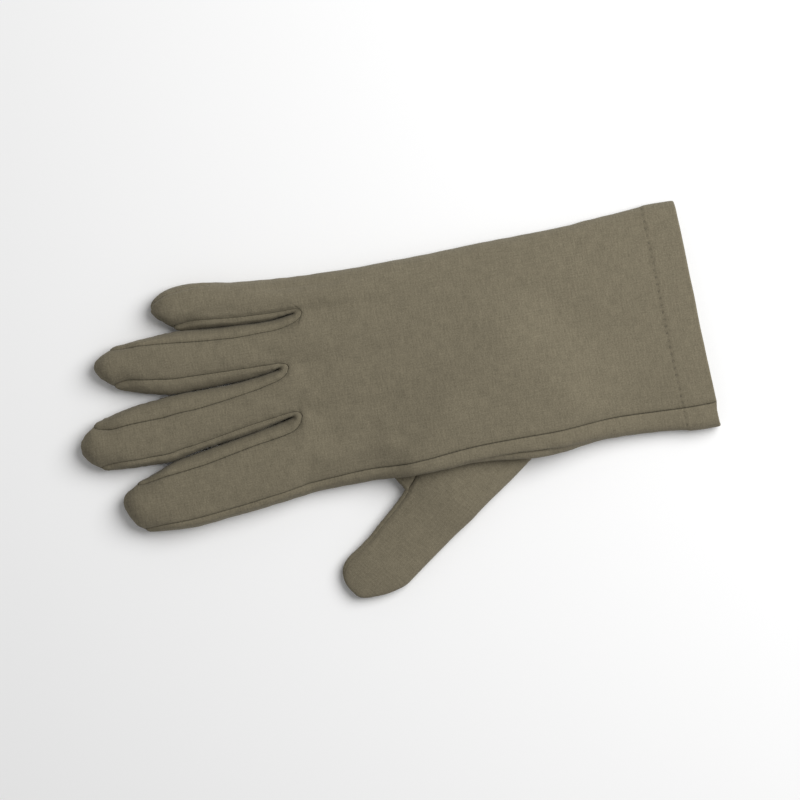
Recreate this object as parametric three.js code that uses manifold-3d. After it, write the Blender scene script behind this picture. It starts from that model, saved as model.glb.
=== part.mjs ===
// A thin knitted wool dress glove for the right hand, lying on its palm.
// Millimetres, +Z up. The cuff is at +X, the fingertips at -X and the little finger at +Y.
// The origin lies at the wrist, in the middle of the palm's flat underside.
// The trank is cloth folded along the little finger, here a back and a palm that meet at the fold.
// With it go three fourchettes between the fingers, a thumb and a turned-in hem.
import * as THREE from "three";
import Module from "manifold-3d";
import { mergeVertices } from "three/addons/utils/BufferGeometryUtils.js";

// Cloth and seams. The cloth is measured square to itself, also at a fold, down to FOLD_FLATNESS.
// ROOM_SHARE: how much of the space to the cloth opposite it may take.
const CLOTH = 1.2;
const FOLD_FLATNESS = 0.65;
const ROOM_SHARE = 0.33;
const SEAM_GAP = 0.3;
const HEM_WIDTH = 13;

// Hand, from the cuff edge past the wrist to the line through the knuckles.
// FULL_HEIGHT_AT, ROOTS_BEGIN_AT: shares of the hand's length from the cuff edge.
const CUFF_LENGTH = 38;
const HAND_LENGTH = 156.5;
const HAND_WIDTH = 81;
const CUFF_WIDTH = 87;
const HAND_HEIGHT = 13;
const CUFF_HEIGHT = 11;
const CUFF_SLANT = 1.3;
const FULL_HEIGHT_AT = 0.5;
const ROOTS_BEGIN_AT = 0.4;
const SIDE_SEAM_HEIGHT = 8.3;
const FOLD_HEIGHT = 8.6;
const FOLD_INSET = 4;

// Roundness of the cloth across the hand and the fingers, as powers
const BACK_ROUNDNESS = 2.3;
const PALM_ROUNDNESS = 2.5;
const PALM_EDGE_HEIGHT = 2;
const PALM_FLAT = 0.4;

// Fingers, measured from the knuckle line
const FINGER_HEIGHT = 12;
const FINGER_FALL = 1.2;
const FINGER_SEAM_HEIGHT = 8.4;
const FINGER_SEAM_REACH = 8;
const INDEX_LENGTH = 71;
const MIDDLE_LENGTH = 83.2;
const RING_LENGTH = 72.6;
const LITTLE_LENGTH = 47.5;
const FINGER_SPAN = 80;
const TIP_ROUND = 12;
const TIP_HEIGHT = 3.4;
const TIP_CROWN = 4.4;
const TIP_CROWN_ROUNDNESS = 0.8;
const FOURCHETTE_STOP = 8;
const FOURCHETTE_TAPER = 16;
const FOURCHETTE_TAPER_ROUNDNESS = 0.7;

// The fingers from the index to the little one. tip_shift: how far the tip lies off the finger's
// middle line, as a share of its width.
const FINGERS = [
  { length: INDEX_LENGTH, tip_shift: 0.08 },
  { length: MIDDLE_LENGTH, tip_shift: 0 },
  { length: RING_LENGTH, tip_shift: 0.08 },
  { length: LITTLE_LENGTH, tip_shift: 0 },
];

// Gaps between the fingers
const SLIT = 0.6;
const CROTCH_HEIGHT = 10.8;
const CROTCH_LEAN = 2.4;
const CROTCH_ROUND = 5;

// Thumb, lying flat beside and under the palm
const THUMB_LENGTH = 107;
const THUMB_WIDTH = 26;
const THUMB_HEIGHT = 9;
const THUMB_BASE_HEIGHT = 7.6;
const THUMB_ANGLE = 38.5;
const THUMB_SQUARENESS = 0.7;
const THUMB_TIP_ROUND = 16;
const THUMB_END = { wide: 0.12, high: 0.4 };
const THUMB_TIP = { from_knuckles: 9.5, from_edge: -40.7 };
const THUMB_CLEARANCE = 0.6;
const THUMB_HOLE = { from_base: 17, long: 22, wide: 15, past_palm: 2 };

// How far around the thumb the palm over it, and the back above that, are raised
const PALM_LIFT_REACH = 13;
const BACK_LIFT_REACH = 28;
const BACK_LIFT_SHARE = 0.5;

// How finely the cloth is divided. HAND_ROWS: 0 to 1 over the hem, then evenly to the knuckles.
// CROTCH_ROWS: shares of CROTCH_ROUND. TIP_TURN: degrees round a fingertip to its last row.
// THUMB_BUNCHING: how far the thumb's rows crowd towards its ends, from 0 to 1.
const FINGER_COLUMNS = 6;
const WALL_STEPS = 3;
const HAND_ROWS = [0, 0.5, 1, 1.9, 2.8, 3.7, 4.5, 5.3, 6.1, 6.9, 7.6, 8.3, 9, 9.6, 10.3, 11.1, 12];
const CROTCH_ROWS = [0.25, 0.75, 1.5];
const FINGER_ROWS = 6;
const TIP_ROWS = 5;
const TIP_TURN = 80;
const THUMB_ROWS = 15;
const THUMB_BUNCHING = 0.85;
const THUMB_COLUMNS = 20;
const HOLE_SEGMENTS = 10;
const SAME_POINT = 1e-4;

// Outline of the hand. at: share of the hand's length from the cuff edge.
// The others: shares of the width there, from the middle of the hand.
const HAND_OUTLINE = [
  { at: 0, low_edge: -0.496, seam: -0.393, high_edge: 0.498 },
  { at: 0.08, low_edge: -0.495, seam: -0.395, high_edge: 0.505 },
  { at: 0.14, low_edge: -0.483, seam: -0.392, high_edge: 0.5 },
  { at: 0.26, low_edge: -0.474, seam: -0.387, high_edge: 0.489 },
  { at: 0.38, low_edge: -0.487, seam: -0.404, high_edge: 0.489 },
  { at: 0.5, low_edge: -0.477, seam: -0.407, high_edge: 0.491 },
  { at: 0.6, low_edge: -0.479, seam: -0.413, high_edge: 0.49 },
  { at: 0.75, low_edge: -0.495, seam: -0.44, high_edge: 0.493 },
  { at: 0.87, low_edge: -0.486, seam: -0.437, high_edge: 0.5 },
  { at: 1, low_edge: -0.5, seam: -0.458, high_edge: 0.519 },
];

// Outer sides of the index and little fingers. at: share of FINGER_SPAN from the knuckles.
// The others: shares of HAND_WIDTH from the middle of the hand.
const OUTER_SIDES = [
  { at: 0, low_edge: -0.5, seam: -0.458, high_edge: 0.519 },
  { at: 0.2, low_edge: -0.519, seam: -0.484, high_edge: 0.542 },
  { at: 0.3, low_edge: -0.531, seam: -0.496, high_edge: 0.561 },
  { at: 0.4, low_edge: -0.54, seam: -0.507, high_edge: 0.57 },
  { at: 0.6, low_edge: -0.552, seam: -0.522, high_edge: 0.554 },
  { at: 0.75, low_edge: -0.542, seam: -0.521, high_edge: 0.548 },
  { at: 1, low_edge: -0.51, seam: -0.502, high_edge: 0.54 },
];

// The three gaps. at: share of FINGER_SPAN from the knuckles. The others: shares of HAND_WIDTH.
// setback: how far the crotch lies behind the knuckle line.
// valley: the line where the two fingers meet. low_open, high_open: how far each finger has left it.
// low_strip, high_strip: width of the fourchette seen from above, on each finger.
const GAPS = [
  {
    name: "index_middle",
    setback: 0.0235,
    rows: [
      { at: -0.02, valley: -0.132, low_open: 0, high_open: 0, low_strip: 0.052, high_strip: 0.038 },
      { at: 0.08, valley: -0.154, low_open: 0, high_open: 0, low_strip: 0.053, high_strip: 0.045 },
      { at: 0.22, valley: -0.178, low_open: 0, high_open: 0, low_strip: 0.049, high_strip: 0.042 },
      { at: 0.46, valley: -0.211, low_open: 0, high_open: 0, low_strip: 0.061, high_strip: 0.033 },
      { at: 0.575, valley: -0.232, low_open: 0, high_open: 0, low_strip: 0.054, high_strip: 0.04 },
      { at: 0.63, valley: -0.246, low_open: 0.002, high_open: 0.009, low_strip: 0.042, high_strip: 0.035 },
      { at: 0.7, valley: -0.258, low_open: 0.019, high_open: 0.024, low_strip: 0.021, high_strip: 0.033 },
      { at: 0.8, valley: -0.275, low_open: 0.035, high_open: 0.045, low_strip: 0.012, high_strip: 0.024 },
      { at: 1, valley: -0.296, low_open: 0.042, high_open: 0.085, low_strip: 0.009, high_strip: 0.014 },
    ],
  },
  {
    name: "middle_ring",
    setback: 0,
    rows: [
      { at: 0, valley: 0.101, low_open: 0, high_open: 0, low_strip: 0.036, high_strip: 0.03 },
      { at: 0.08, valley: 0.087, low_open: 0, high_open: 0, low_strip: 0.042, high_strip: 0.045 },
      { at: 0.22, valley: 0.075, low_open: 0, high_open: 0, low_strip: 0.056, high_strip: 0.056 },
      { at: 0.46, valley: 0.073, low_open: 0, high_open: 0, low_strip: 0.087, high_strip: 0.07 },
      { at: 0.56, valley: 0.073, low_open: 0, high_open: 0, low_strip: 0.092, high_strip: 0.082 },
      { at: 0.62, valley: 0.075, low_open: 0.009, high_open: 0.012, low_strip: 0.092, high_strip: 0.075 },
      { at: 0.7, valley: 0.085, low_open: 0.028, high_open: 0.024, low_strip: 0.085, high_strip: 0.061 },
      { at: 0.8, valley: 0.094, low_open: 0.054, high_open: 0.047, low_strip: 0.068, high_strip: 0.038 },
      { at: 1, valley: 0.113, low_open: 0.117, high_open: 0.094, low_strip: 0.02, high_strip: 0.01 },
    ],
  },
  {
    name: "ring_little",
    setback: 0.1123,
    rows: [
      { at: -0.114, valley: 0.347, low_open: 0, high_open: 0, low_strip: 0.033, high_strip: 0.03 },
      { at: 0, valley: 0.333, low_open: 0, high_open: 0, low_strip: 0.045, high_strip: 0.038 },
      { at: 0.1, valley: 0.336, low_open: 0, high_open: 0, low_strip: 0.049, high_strip: 0.038 },
      { at: 0.22, valley: 0.344, low_open: 0, high_open: 0, low_strip: 0.055, high_strip: 0.034 },
      { at: 0.46, valley: 0.362, low_open: 0, high_open: 0, low_strip: 0.056, high_strip: 0.03 },
      { at: 0.5, valley: 0.366, low_open: 0.003, high_open: 0.007, low_strip: 0.053, high_strip: 0.026 },
      { at: 0.56, valley: 0.38, low_open: 0.019, high_open: 0.019, low_strip: 0.045, high_strip: 0.014 },
      { at: 0.7, valley: 0.399, low_open: 0.047, high_open: 0.03, low_strip: 0.028, high_strip: 0.01 },
      { at: 0.8, valley: 0.408, low_open: 0.066, high_open: 0.04, low_strip: 0.014, high_strip: 0.01 },
      { at: 1, valley: 0.418, low_open: 0.094, high_open: 0.05, low_strip: 0.01, high_strip: 0.01 },
    ],
  },
];

// Folds of the palm's edge that reach out from under the side seam.
// at: share of the hand's length. reach and length: shares of HAND_WIDTH.
const EDGE_FOLDS = [{ at: 0.453, reach: 0.033, length: 0.2 }];

// The thumb's sides. at: share of its length from the tip. left, right: shares of THUMB_WIDTH
// from its middle line. height: 1 for THUMB_HEIGHT, 0 for THUMB_BASE_HEIGHT.
const THUMB_SIDES = [
  { at: 0, left: 0.56, right: 0.34, height: 1 },
  { at: 0.13, left: 0.4, right: 0.475, height: 1 },
  { at: 0.25, left: 0.41, right: 0.5, height: 1 },
  { at: 0.38, left: 0.47, right: 0.53, height: 1 },
  { at: 0.5, left: 0.58, right: 0.56, height: 1 },
  { at: 0.8, left: 0.6, right: 0.64, height: 0.5 },
  { at: 1, left: 0.6, right: 0.64, height: 0 },
];

// Places shared by the pieces
const CUFF_X = CUFF_LENGTH;
const KNUCKLE_X = CUFF_LENGTH - HAND_LENGTH;

// Value of a table's column at a place, on a smooth curve through its rows.
function along(rows, column, at) {
  const last = rows.length - 1;
  if (at <= rows[0].at) return rows[0][column];
  if (at >= rows[last].at) return rows[last][column];
  let i = 0;
  while (rows[i + 1].at < at) i += 1;
  const slope = (a, b) => (rows[b][column] - rows[a][column]) / (rows[b].at - rows[a].at);
  const span = rows[i + 1].at - rows[i].at;
  const t = (at - rows[i].at) / span;
  const start = slope(Math.max(0, i - 1), i + 1) * span;
  const end = slope(i, Math.min(last, i + 2)) * span;
  const a = rows[i][column];
  const b = rows[i + 1][column];
  return a + t * (start + t * (3 * (b - a) - 2 * start - end + t * (2 * (a - b) + start + end)));
}

const mix = (a, b, t) => a + (b - a) * t;
const clamp01 = (t) => Math.min(1, Math.max(0, t));
const smooth = (t) => clamp01(t) ** 2 * (3 - 2 * clamp01(t));

// The thumb's own frame: how far a point lies from its tip, and to the side of its middle line.
const thumbTurn = THREE.MathUtils.degToRad(THUMB_ANGLE);
const thumbAxis = new THREE.Vector2(Math.cos(thumbTurn), Math.sin(thumbTurn));
const thumbSide = new THREE.Vector2(-thumbAxis.y, thumbAxis.x);
const thumbTip = new THREE.Vector2(
  KNUCKLE_X + THUMB_TIP.from_knuckles,
  -HAND_WIDTH / 2 + THUMB_TIP.from_edge,
);

function thumbHeight(p) {
  return mix(THUMB_BASE_HEIGHT, THUMB_HEIGHT, along(THUMB_SIDES, "height", p / THUMB_LENGTH));
}

// Distance in plan from a point to the thumb's outline, 0 over the thumb.
function besideThumb(p, q) {
  const side = q > 0 ? "left" : "right";
  const across = Math.abs(q) - THUMB_WIDTH * along(THUMB_SIDES, side, clamp01(p / THUMB_LENGTH));
  return Math.hypot(Math.max(0, across), Math.max(0, p - THUMB_LENGTH));
}

// Raises a point of the hand over the thumb: its underside by all of the thumb's height,
// its top by a share of it.
function lifted(x, y, z) {
  const from = new THREE.Vector2(x, y).sub(thumbTip);
  const p = from.dot(thumbAxis);
  const beside = besideThumb(p, from.dot(thumbSide));
  const palm = 1 - smooth(beside / PALM_LIFT_REACH);
  const back = BACK_LIFT_SHARE * (1 - smooth(beside / BACK_LIFT_REACH));
  const high = clamp01(z / HAND_HEIGHT);
  return new THREE.Vector3(x, y, z + (thumbHeight(p) + THUMB_CLEARANCE) * mix(palm, back, high));
}

// Skin: the outside of the glove as numbered points, and the faces that each panel takes from it.
const skin = [];
const faces = [];

function addPoint(point) {
  skin.push(point);
  return skin.length - 1;
}

// Faces between two strips of points. A strip of one point closes to a fan.
function join(panel, near, far) {
  const count = Math.max(near.length, far.length) - 1;
  for (let i = 0; i < count; i += 1) {
    const a = near[Math.min(i, near.length - 1)];
    const b = near[Math.min(i + 1, near.length - 1)];
    const c = far[Math.min(i + 1, far.length - 1)];
    const d = far[Math.min(i, far.length - 1)];
    if (a !== b) faces.push({ panel, corners: [a, b, c !== d || a === b ? c : d] });
    if (c !== d) faces.push({ panel, corners: [a, c, d] });
  }
}

// Sides of the fingers in plan, at a distance from the knuckle line.
function fingerSides(finger, x) {
  const at = (KNUCKLE_X - x) / FINGER_SPAN;
  const below = GAPS[finger - 1];
  const above = GAPS[finger];
  const w = HAND_WIDTH;
  const low = below
    ? {
        edge: w * (along(below.rows, "valley", at) + along(below.rows, "high_open", at)) + SLIT / 2,
        strip: w * along(below.rows, "high_strip", at),
      }
    : {
        edge: w * along(OUTER_SIDES, "low_edge", at),
        strip: w * (along(OUTER_SIDES, "seam", at) - along(OUTER_SIDES, "low_edge", at)),
      };
  const high = above
    ? {
        edge: w * (along(above.rows, "valley", at) - along(above.rows, "low_open", at)) - SLIT / 2,
        strip: w * along(above.rows, "low_strip", at),
      }
    : { edge: w * along(OUTER_SIDES, "high_edge", at), strip: FOLD_INSET };
  return { low, high };
}

// Where a crotch lies: on the back, and further forward on the palm.
const crotches = GAPS.map((gap) => {
  const inValley = (x) =>
    new THREE.Vector2(x, HAND_WIDTH * along(gap.rows, "valley", (KNUCKLE_X - x) / FINGER_SPAN));
  const x = KNUCKLE_X + HAND_WIDTH * gap.setback;
  return { back: inValley(x), palm: inValley(x - CROTCH_LEAN) };
});

// Height of the back along a finger, for w from -1 to 1 across it.
function backHeight(edge, crown, w) {
  return mix(crown, edge, Math.abs(w) ** BACK_ROUNDNESS);
}

// Height of the palm for w from -1 to 1 across it: flat, and rounded up to its edges.
function palmHeight(w) {
  return PALM_EDGE_HEIGHT * clamp01((Math.abs(w) - PALM_FLAT) / (1 - PALM_FLAT)) ** PALM_ROUNDNESS;
}

// A wall's points from the back's edge to the palm's edge, which it ends at.
function wallPoints(backPoint, palmPoint) {
  const points = [];
  for (let i = 1; i < WALL_STEPS; i += 1) {
    const f = i / WALL_STEPS;
    const out = Math.sin((f * Math.PI) / 2);
    points.push(
      new THREE.Vector3(
        mix(backPoint.x, palmPoint.x, out),
        mix(backPoint.y, palmPoint.y, out),
        mix(backPoint.z, palmPoint.z, f),
      ),
    );
  }
  return points;
}

function addWall(back, palm) {
  return [back, ...wallPoints(skin[back], skin[palm]).map(addPoint), palm];
}

// Rows along a finger: close together at the crotch, even along it, and by angle round its tip.
function fingerRows(length) {
  const stop = length - FOURCHETTE_STOP;
  const rows = CROTCH_ROWS.map((share) => share * CROTCH_ROUND);
  const first = rows[rows.length - 1];
  for (let i = 1; i <= FINGER_ROWS; i += 1) rows.push(mix(first, stop, i / FINGER_ROWS));
  const open = rows.length;
  for (let i = 1; i <= TIP_ROWS; i += 1) {
    const turn = THREE.MathUtils.degToRad((i / TIP_ROWS) * TIP_TURN);
    rows.push(length - FOURCHETTE_STOP * (1 - Math.sin(turn)));
  }
  return { rows, open };
}

// Width of a round end as a share of its full width, at a share of its length from its tip.
function roundShare(share) {
  const t = clamp01(share);
  return Math.sqrt(t * (2 - t));
}

// Root of each finger: corners on the knuckle line, as heights and places for back and palm.
function rootOf(finger) {
  const knuckle = OUTER_SIDES[0];
  const low = finger
    ? crotches[finger - 1]
    : {
        back: new THREE.Vector2(KNUCKLE_X, HAND_WIDTH * knuckle.seam),
        palm: new THREE.Vector2(KNUCKLE_X, HAND_WIDTH * knuckle.low_edge),
      };
  const high = crotches[finger] || {
    back: new THREE.Vector2(KNUCKLE_X, HAND_WIDTH * knuckle.high_edge - FOLD_INSET),
    palm: new THREE.Vector2(KNUCKLE_X, HAND_WIDTH * knuckle.high_edge),
  };
  return { low, high };
}

// Points of the root row of a finger, across the back and across the palm.
function rootRow(finger) {
  const { low, high } = rootOf(finger);
  const lowHeight = finger ? CROTCH_HEIGHT : SIDE_SEAM_HEIGHT;
  const highHeight = crotches[finger] ? CROTCH_HEIGHT : FOLD_HEIGHT;
  const back = [];
  const palm = [];
  for (let c = 0; c <= FINGER_COLUMNS; c += 1) {
    const share = c / FINGER_COLUMNS;
    const w = 2 * share - 1;
    const edge = mix(lowHeight, highHeight, share);
    const onBack = low.back.clone().lerp(high.back, share);
    const onPalm = low.palm.clone().lerp(high.palm, share);
    back.push(new THREE.Vector3(onBack.x, onBack.y, backHeight(edge, FINGER_HEIGHT, w)));
    palm.push(new THREE.Vector3(onPalm.x, onPalm.y, palmHeight(w)));
  }
  return { back, palm };
}

// Root rows of the four fingers joined at the crotches they share.
function wholeRootRow(side) {
  return FINGERS.flatMap((_, finger) => rootRow(finger)[side].slice(finger ? 1 : 0));
}

// How far the palm's edge reaches out in its folds, at a share of the hand's length.
function edgeFolds(at) {
  const reach = EDGE_FOLDS.map((fold) => {
    const away = ((at - fold.at) * HAND_LENGTH) / (HAND_WIDTH * fold.length);
    return HAND_WIDTH * fold.reach * Math.exp(-(away * away));
  });
  return reach.reduce((sum, r) => sum + r, 0);
}

// Hand: rows of points from the cuff edge to the root rows.
function buildHand() {
  const roots = { back: wholeRootRow("back"), palm: wholeRootRow("palm") };
  const shares = {};
  for (const side of ["back", "palm"]) {
    const ends = [roots[side][0].y, roots[side][roots[side].length - 1].y];
    shares[side] = roots[side].map((p) => (p.y - ends[0]) / (ends[1] - ends[0]));
  }
  const rootShare = (at) => smooth((at - ROOTS_BEGIN_AT) / (1 - ROOTS_BEGIN_AT)) ** 2;
  const rows = [];
  const lastRow = HAND_ROWS[HAND_ROWS.length - 1];
  const hem = HEM_WIDTH / HAND_LENGTH;
  for (const row of HAND_ROWS) {
    const at = row <= 1 ? row * hem : mix(hem, 1, (row - 1) / (lastRow - 1));
    const width = mix(CUFF_WIDTH, HAND_WIDTH, at);
    const height = mix(CUFF_HEIGHT, HAND_HEIGHT, smooth(at / FULL_HEIGHT_AT));
    const scale = height / HAND_HEIGHT;
    const low = width * along(HAND_OUTLINE, "low_edge", at);
    const seam = width * along(HAND_OUTLINE, "seam", at);
    const high = width * along(HAND_OUTLINE, "high_edge", at);
    const folds = edgeFolds(at);
    const place = (side, j, from, to, z) => {
      const y = mix(from, to, shares[side][j]);
      const cuffX = CUFF_X - (CUFF_SLANT * y) / CUFF_WIDTH;
      return lifted(mix(cuffX, roots[side][j].x, at), y, z);
    };
    const back = roots.back.map((root, j) => {
      const w = 2 * shares.back[j] - 1;
      const edge = scale * mix(SIDE_SEAM_HEIGHT, FOLD_HEIGHT, shares.back[j]);
      const z = mix(backHeight(edge, height, w), root.z, rootShare(at));
      return place("back", j, seam, high - FOLD_INSET, z);
    });
    const palm = roots.palm.map((root, j) => {
      const w = 2 * shares.palm[j] - 1;
      const z = mix(palmHeight(w), root.z, rootShare(at));
      return place("palm", j, low - folds, high, z);
    });
    const made = { back: back.map(addPoint), palm: palm.map(addPoint) };
    made.low = addWall(made.back[0], made.palm[0]);
    made.high = addWall(made.back[made.back.length - 1], made.palm[made.palm.length - 1]);
    rows.push(made);
  }
  return rows;
}

// Strips run so that each face looks outwards: across the back towards +Y, and round the section.
function joinHandRows(near, far) {
  join("back", near.back, far.back);
  join("palm", near.high, far.high);
  join("palm", [...near.palm].reverse(), [...far.palm].reverse());
  join("palm", [...near.low].reverse(), [...far.low].reverse());
}

const handRows = buildHand();
for (let i = 1; i < handRows.length; i += 1) joinHandRows(handRows[i - 1], handRows[i]);

// Walls at the crotches, shared by the two fourchette legs that start there.
const rootPoints = handRows[handRows.length - 1];
const crotchWalls = GAPS.map((_, g) => {
  const column = (g + 1) * FINGER_COLUMNS;
  return addWall(rootPoints.back[column], rootPoints.palm[column]);
});

// One finger: rows from its root to its tip, on the back, the palm and both walls.
function buildFinger(finger) {
  const { length, tip_shift: tipShift } = FINGERS[finger];
  const root = rootRow(finger);
  const first = finger * FINGER_COLUMNS;
  const { rows, open } = fingerRows(length);
  let near = {
    back: rootPoints.back.slice(first, first + FINGER_COLUMNS + 1),
    palm: rootPoints.palm.slice(first, first + FINGER_COLUMNS + 1),
    low: finger ? crotchWalls[finger - 1] : rootPoints.low,
    high: crotchWalls[finger] || rootPoints.high,
  };
  rows.forEach((distance, r) => {
    const share = distance / length;
    const tipX = KNUCKLE_X - length;
    const fromTip = length - distance;
    const narrow = roundShare(fromTip / TIP_ROUND);
    const closing = r + 1 >= open;
    const beforeStop = clamp01((fromTip - FOURCHETTE_STOP) / FOURCHETTE_TAPER);
    const taper = closing ? 0 : beforeStop ** FOURCHETTE_TAPER_ROUNDNESS;
    const round = roundShare(distance / CROTCH_ROUND);
    const sideAt = (side, c) => {
      const x = mix(root.back[c].x, tipX, share);
      const { edge, strip } = fingerSides(finger, x)[side];
      const outer = side === "low" ? !finger : finger === FINGERS.length - 1;
      const inward = side === "low" ? 1 : -1;
      return { x, edge, seam: edge + inward * strip * taper * (outer ? 1 : round) };
    };
    const low = sideAt("low", 0);
    const high = sideAt("high", FINGER_COLUMNS);
    const middle = (low.edge + high.edge) / 2;
    const width = high.edge - low.edge;
    const shift = tipShift * width * (1 - narrow);
    const tipMiddle = middle + shift;
    const inTip = (y) => tipMiddle + (y - middle) * narrow;
    const crown = mix(TIP_CROWN, FINGER_HEIGHT, narrow ** TIP_CROWN_ROUNDNESS) - FINGER_FALL * share;
    const fromRoot = smooth(distance / FINGER_SEAM_REACH);
    const seamHeight = (start) => mix(TIP_HEIGHT, mix(start, FINGER_SEAM_HEIGHT, fromRoot), taper);
    const lowSeam = seamHeight(finger ? CROTCH_HEIGHT : SIDE_SEAM_HEIGHT);
    const highSeam = seamHeight(crotches[finger] ? CROTCH_HEIGHT : FOLD_HEIGHT);
    const palmEdge = mix(TIP_HEIGHT, PALM_EDGE_HEIGHT, taper);
    const back = [];
    const palm = [];
    for (let c = 0; c <= FINGER_COLUMNS; c += 1) {
      const across = c / FINGER_COLUMNS;
      const w = 2 * across - 1;
      const backX = mix(root.back[c].x, tipX, share);
      const palmX = mix(root.palm[c].x, tipX, share);
      const backZ = backHeight(mix(lowSeam, highSeam, across), crown, w);
      const palmZ = mix(TIP_HEIGHT * (1 - narrow), palmEdge, palmHeight(w) / PALM_EDGE_HEIGHT);
      back.push(new THREE.Vector3(backX, inTip(mix(low.seam, high.seam, across)), backZ));
      palm.push(new THREE.Vector3(palmX, inTip(mix(low.edge, high.edge, across)), palmZ));
    }
    const made = { back: back.map(addPoint), palm: palm.map(addPoint) };
    if (closing) {
      for (const c of [0, FINGER_COLUMNS]) made.palm[c] = made.back[c];
      made.low = [made.back[0]];
      made.high = [made.back[FINGER_COLUMNS]];
    } else {
      made.low = addWall(made.back[0], made.palm[0]);
      made.high = addWall(made.back[FINGER_COLUMNS], made.palm[FINGER_COLUMNS]);
    }
    join("back", near.back, made.back);
    join("palm", [...near.palm].reverse(), [...made.palm].reverse());
    const lowPanel = finger ? GAPS[finger - 1].name : "palm";
    const highPanel = finger < GAPS.length ? GAPS[finger].name : "palm";
    joinWalls(lowPanel, [...near.low].reverse(), [...made.low].reverse());
    joinWalls(highPanel, near.high, made.high);
    near = made;
  });
  closeTip(near);
}

function joinWalls(panel, near, far) {
  if (near.length > 1 || far.length > 1) join(panel, near, far);
}

// Closes a fingertip between the last rows of the back and the palm.
function closeTip(row) {
  const back = row.back;
  const palm = row.palm;
  for (let c = 0; c < FINGER_COLUMNS; c += 1) {
    const corners = [back[c], back[c + 1], palm[c + 1], palm[c]];
    const [first, second, third, fourth] = corners.filter((v, i) => corners.indexOf(v) === i);
    faces.push({ panel: "palm", corners: [first, second, third] });
    if (fourth !== undefined) faces.push({ panel: "palm", corners: [first, third, fourth] });
  }
}

FINGERS.forEach((_, finger) => buildFinger(finger));

// Distance from a point of the skin to the skin opposite it.
function roomFrom(v, direction) {
  const ray = new THREE.Ray(skin[v], direction);
  const hit = new THREE.Vector3();
  let room = Infinity;
  for (const { corners } of faces) {
    if (corners.includes(v)) continue;
    const [a, b, c] = corners.map((w) => skin[w]);
    if (ray.intersectTriangle(a, b, c, false, hit)) room = Math.min(room, hit.distanceTo(skin[v]));
  }
  return room;
}

// Each panel's own normal at each point of the skin, as long as the panel is flat there times its angle.
function panelNormals() {
  const normals = skin.map(() => new Map());
  const angles = skin.map(() => 0);
  for (const { panel, corners } of faces) {
    const [a, b, c] = corners.map((v) => skin[v]);
    const normal = new THREE.Triangle(a, b, c).getNormal(new THREE.Vector3());
    corners.forEach((v, i) => {
      const to = (w) => skin[w].clone().sub(skin[v]);
      const angle = to(corners[(i + 1) % 3]).angleTo(to(corners[(i + 2) % 3]));
      if (!normals[v].has(panel)) normals[v].set(panel, new THREE.Vector3());
      normals[v].get(panel).addScaledVector(normal, angle);
      angles[v] += angle;
    });
  }
  return { normals, angles };
}

// Steps from the outside of the cloth to its inside at each point of the skin. They are longer than the
// cloth is thick at its folds, and shorter where two sides of the glove lie closer than two thicknesses.
function clothSteps() {
  const { normals, angles } = panelNormals();
  return skin.map((_, v) => {
    const own = [...normals[v].values()];
    const direction = new THREE.Vector3();
    for (const normal of own) direction.sub(normal.clone().normalize());
    direction.normalize();
    const flatness = own.reduce((sum, normal) => sum - normal.dot(direction), 0) / angles[v];
    const depth = CLOTH / Math.max(FOLD_FLATNESS, flatness);
    return direction.clone().multiplyScalar(Math.min(depth, ROOM_SHARE * roomFrom(v, direction)));
  });
}

const steps = clothSteps();

// Which panels meet at each point of the skin.
const panelsAt = skin.map(() => new Set());
for (const { panel, corners } of faces) for (const v of corners) panelsAt[v].add(panel);

const wasm = await Module();
wasm.setup();

// A solid from a closed geometry.
function solidFrom(geometry) {
  geometry.deleteAttribute("normal");
  geometry.deleteAttribute("uv");
  const merged = mergeVertices(geometry, SAME_POINT);
  const mesh = new wasm.Mesh({
    numProp: 3,
    vertProperties: merged.attributes.position.array,
    triVerts: new Uint32Array(merged.index.array),
  });
  return new wasm.Manifold(mesh);
}

// A solid from a list of triangles of points.
function solidOf(triangles) {
  return solidFrom(new THREE.BufferGeometry().setFromPoints(triangles.flat()));
}

// A panel of cloth: the skin's faces of the named panel, thickened inwards.
// Its edges stay half a seam gap from the seams.
function clothPanel(panel) {
  const own = faces.filter((face) => face.panel === panel);
  const pulls = new Map();
  const edges = new Set();
  for (const { corners } of own) {
    const centre = new THREE.Vector3();
    for (const v of corners) centre.addScaledVector(skin[v], 1 / 3);
    corners.forEach((v, i) => {
      if (!pulls.has(v)) pulls.set(v, new THREE.Vector3());
      pulls.get(v).add(centre.clone().sub(skin[v]).normalize());
      edges.add(`${v}>${corners[(i + 1) % 3]}`);
    });
  }
  const place = new Map();
  for (const [v, pull] of pulls) {
    const outer = skin[v].clone();
    if (panelsAt[v].size > 1) outer.addScaledVector(pull.normalize(), SEAM_GAP / 2);
    place.set(v, { outer, inner: outer.clone().add(steps[v]) });
  }
  const triangles = [];
  for (const { corners } of own) {
    const [a, b, c] = corners.map((v) => place.get(v));
    triangles.push([a.outer, b.outer, c.outer], [c.inner, b.inner, a.inner]);
    corners.forEach((v, i) => {
      const next = corners[(i + 1) % 3];
      if (edges.has(`${next}>${v}`)) return;
      const [p, q] = [place.get(v), place.get(next)];
      if (v < next) {
        triangles.push([q.outer, p.outer, p.inner], [q.outer, p.inner, q.inner]);
      } else {
        triangles.push([q.outer, p.outer, q.inner], [p.outer, p.inner, q.inner]);
      }
    });
  }
  return solidOf(triangles);
}

// A row of the hand as one loop of points: across the back, down, across the palm and up again.
function loopOf(row) {
  const high = row.high.slice(1, -1);
  const low = row.low.slice(1, -1);
  return [...row.back, ...high, ...[...row.palm].reverse(), ...low.reverse()].map((v) => skin[v]);
}

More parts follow.
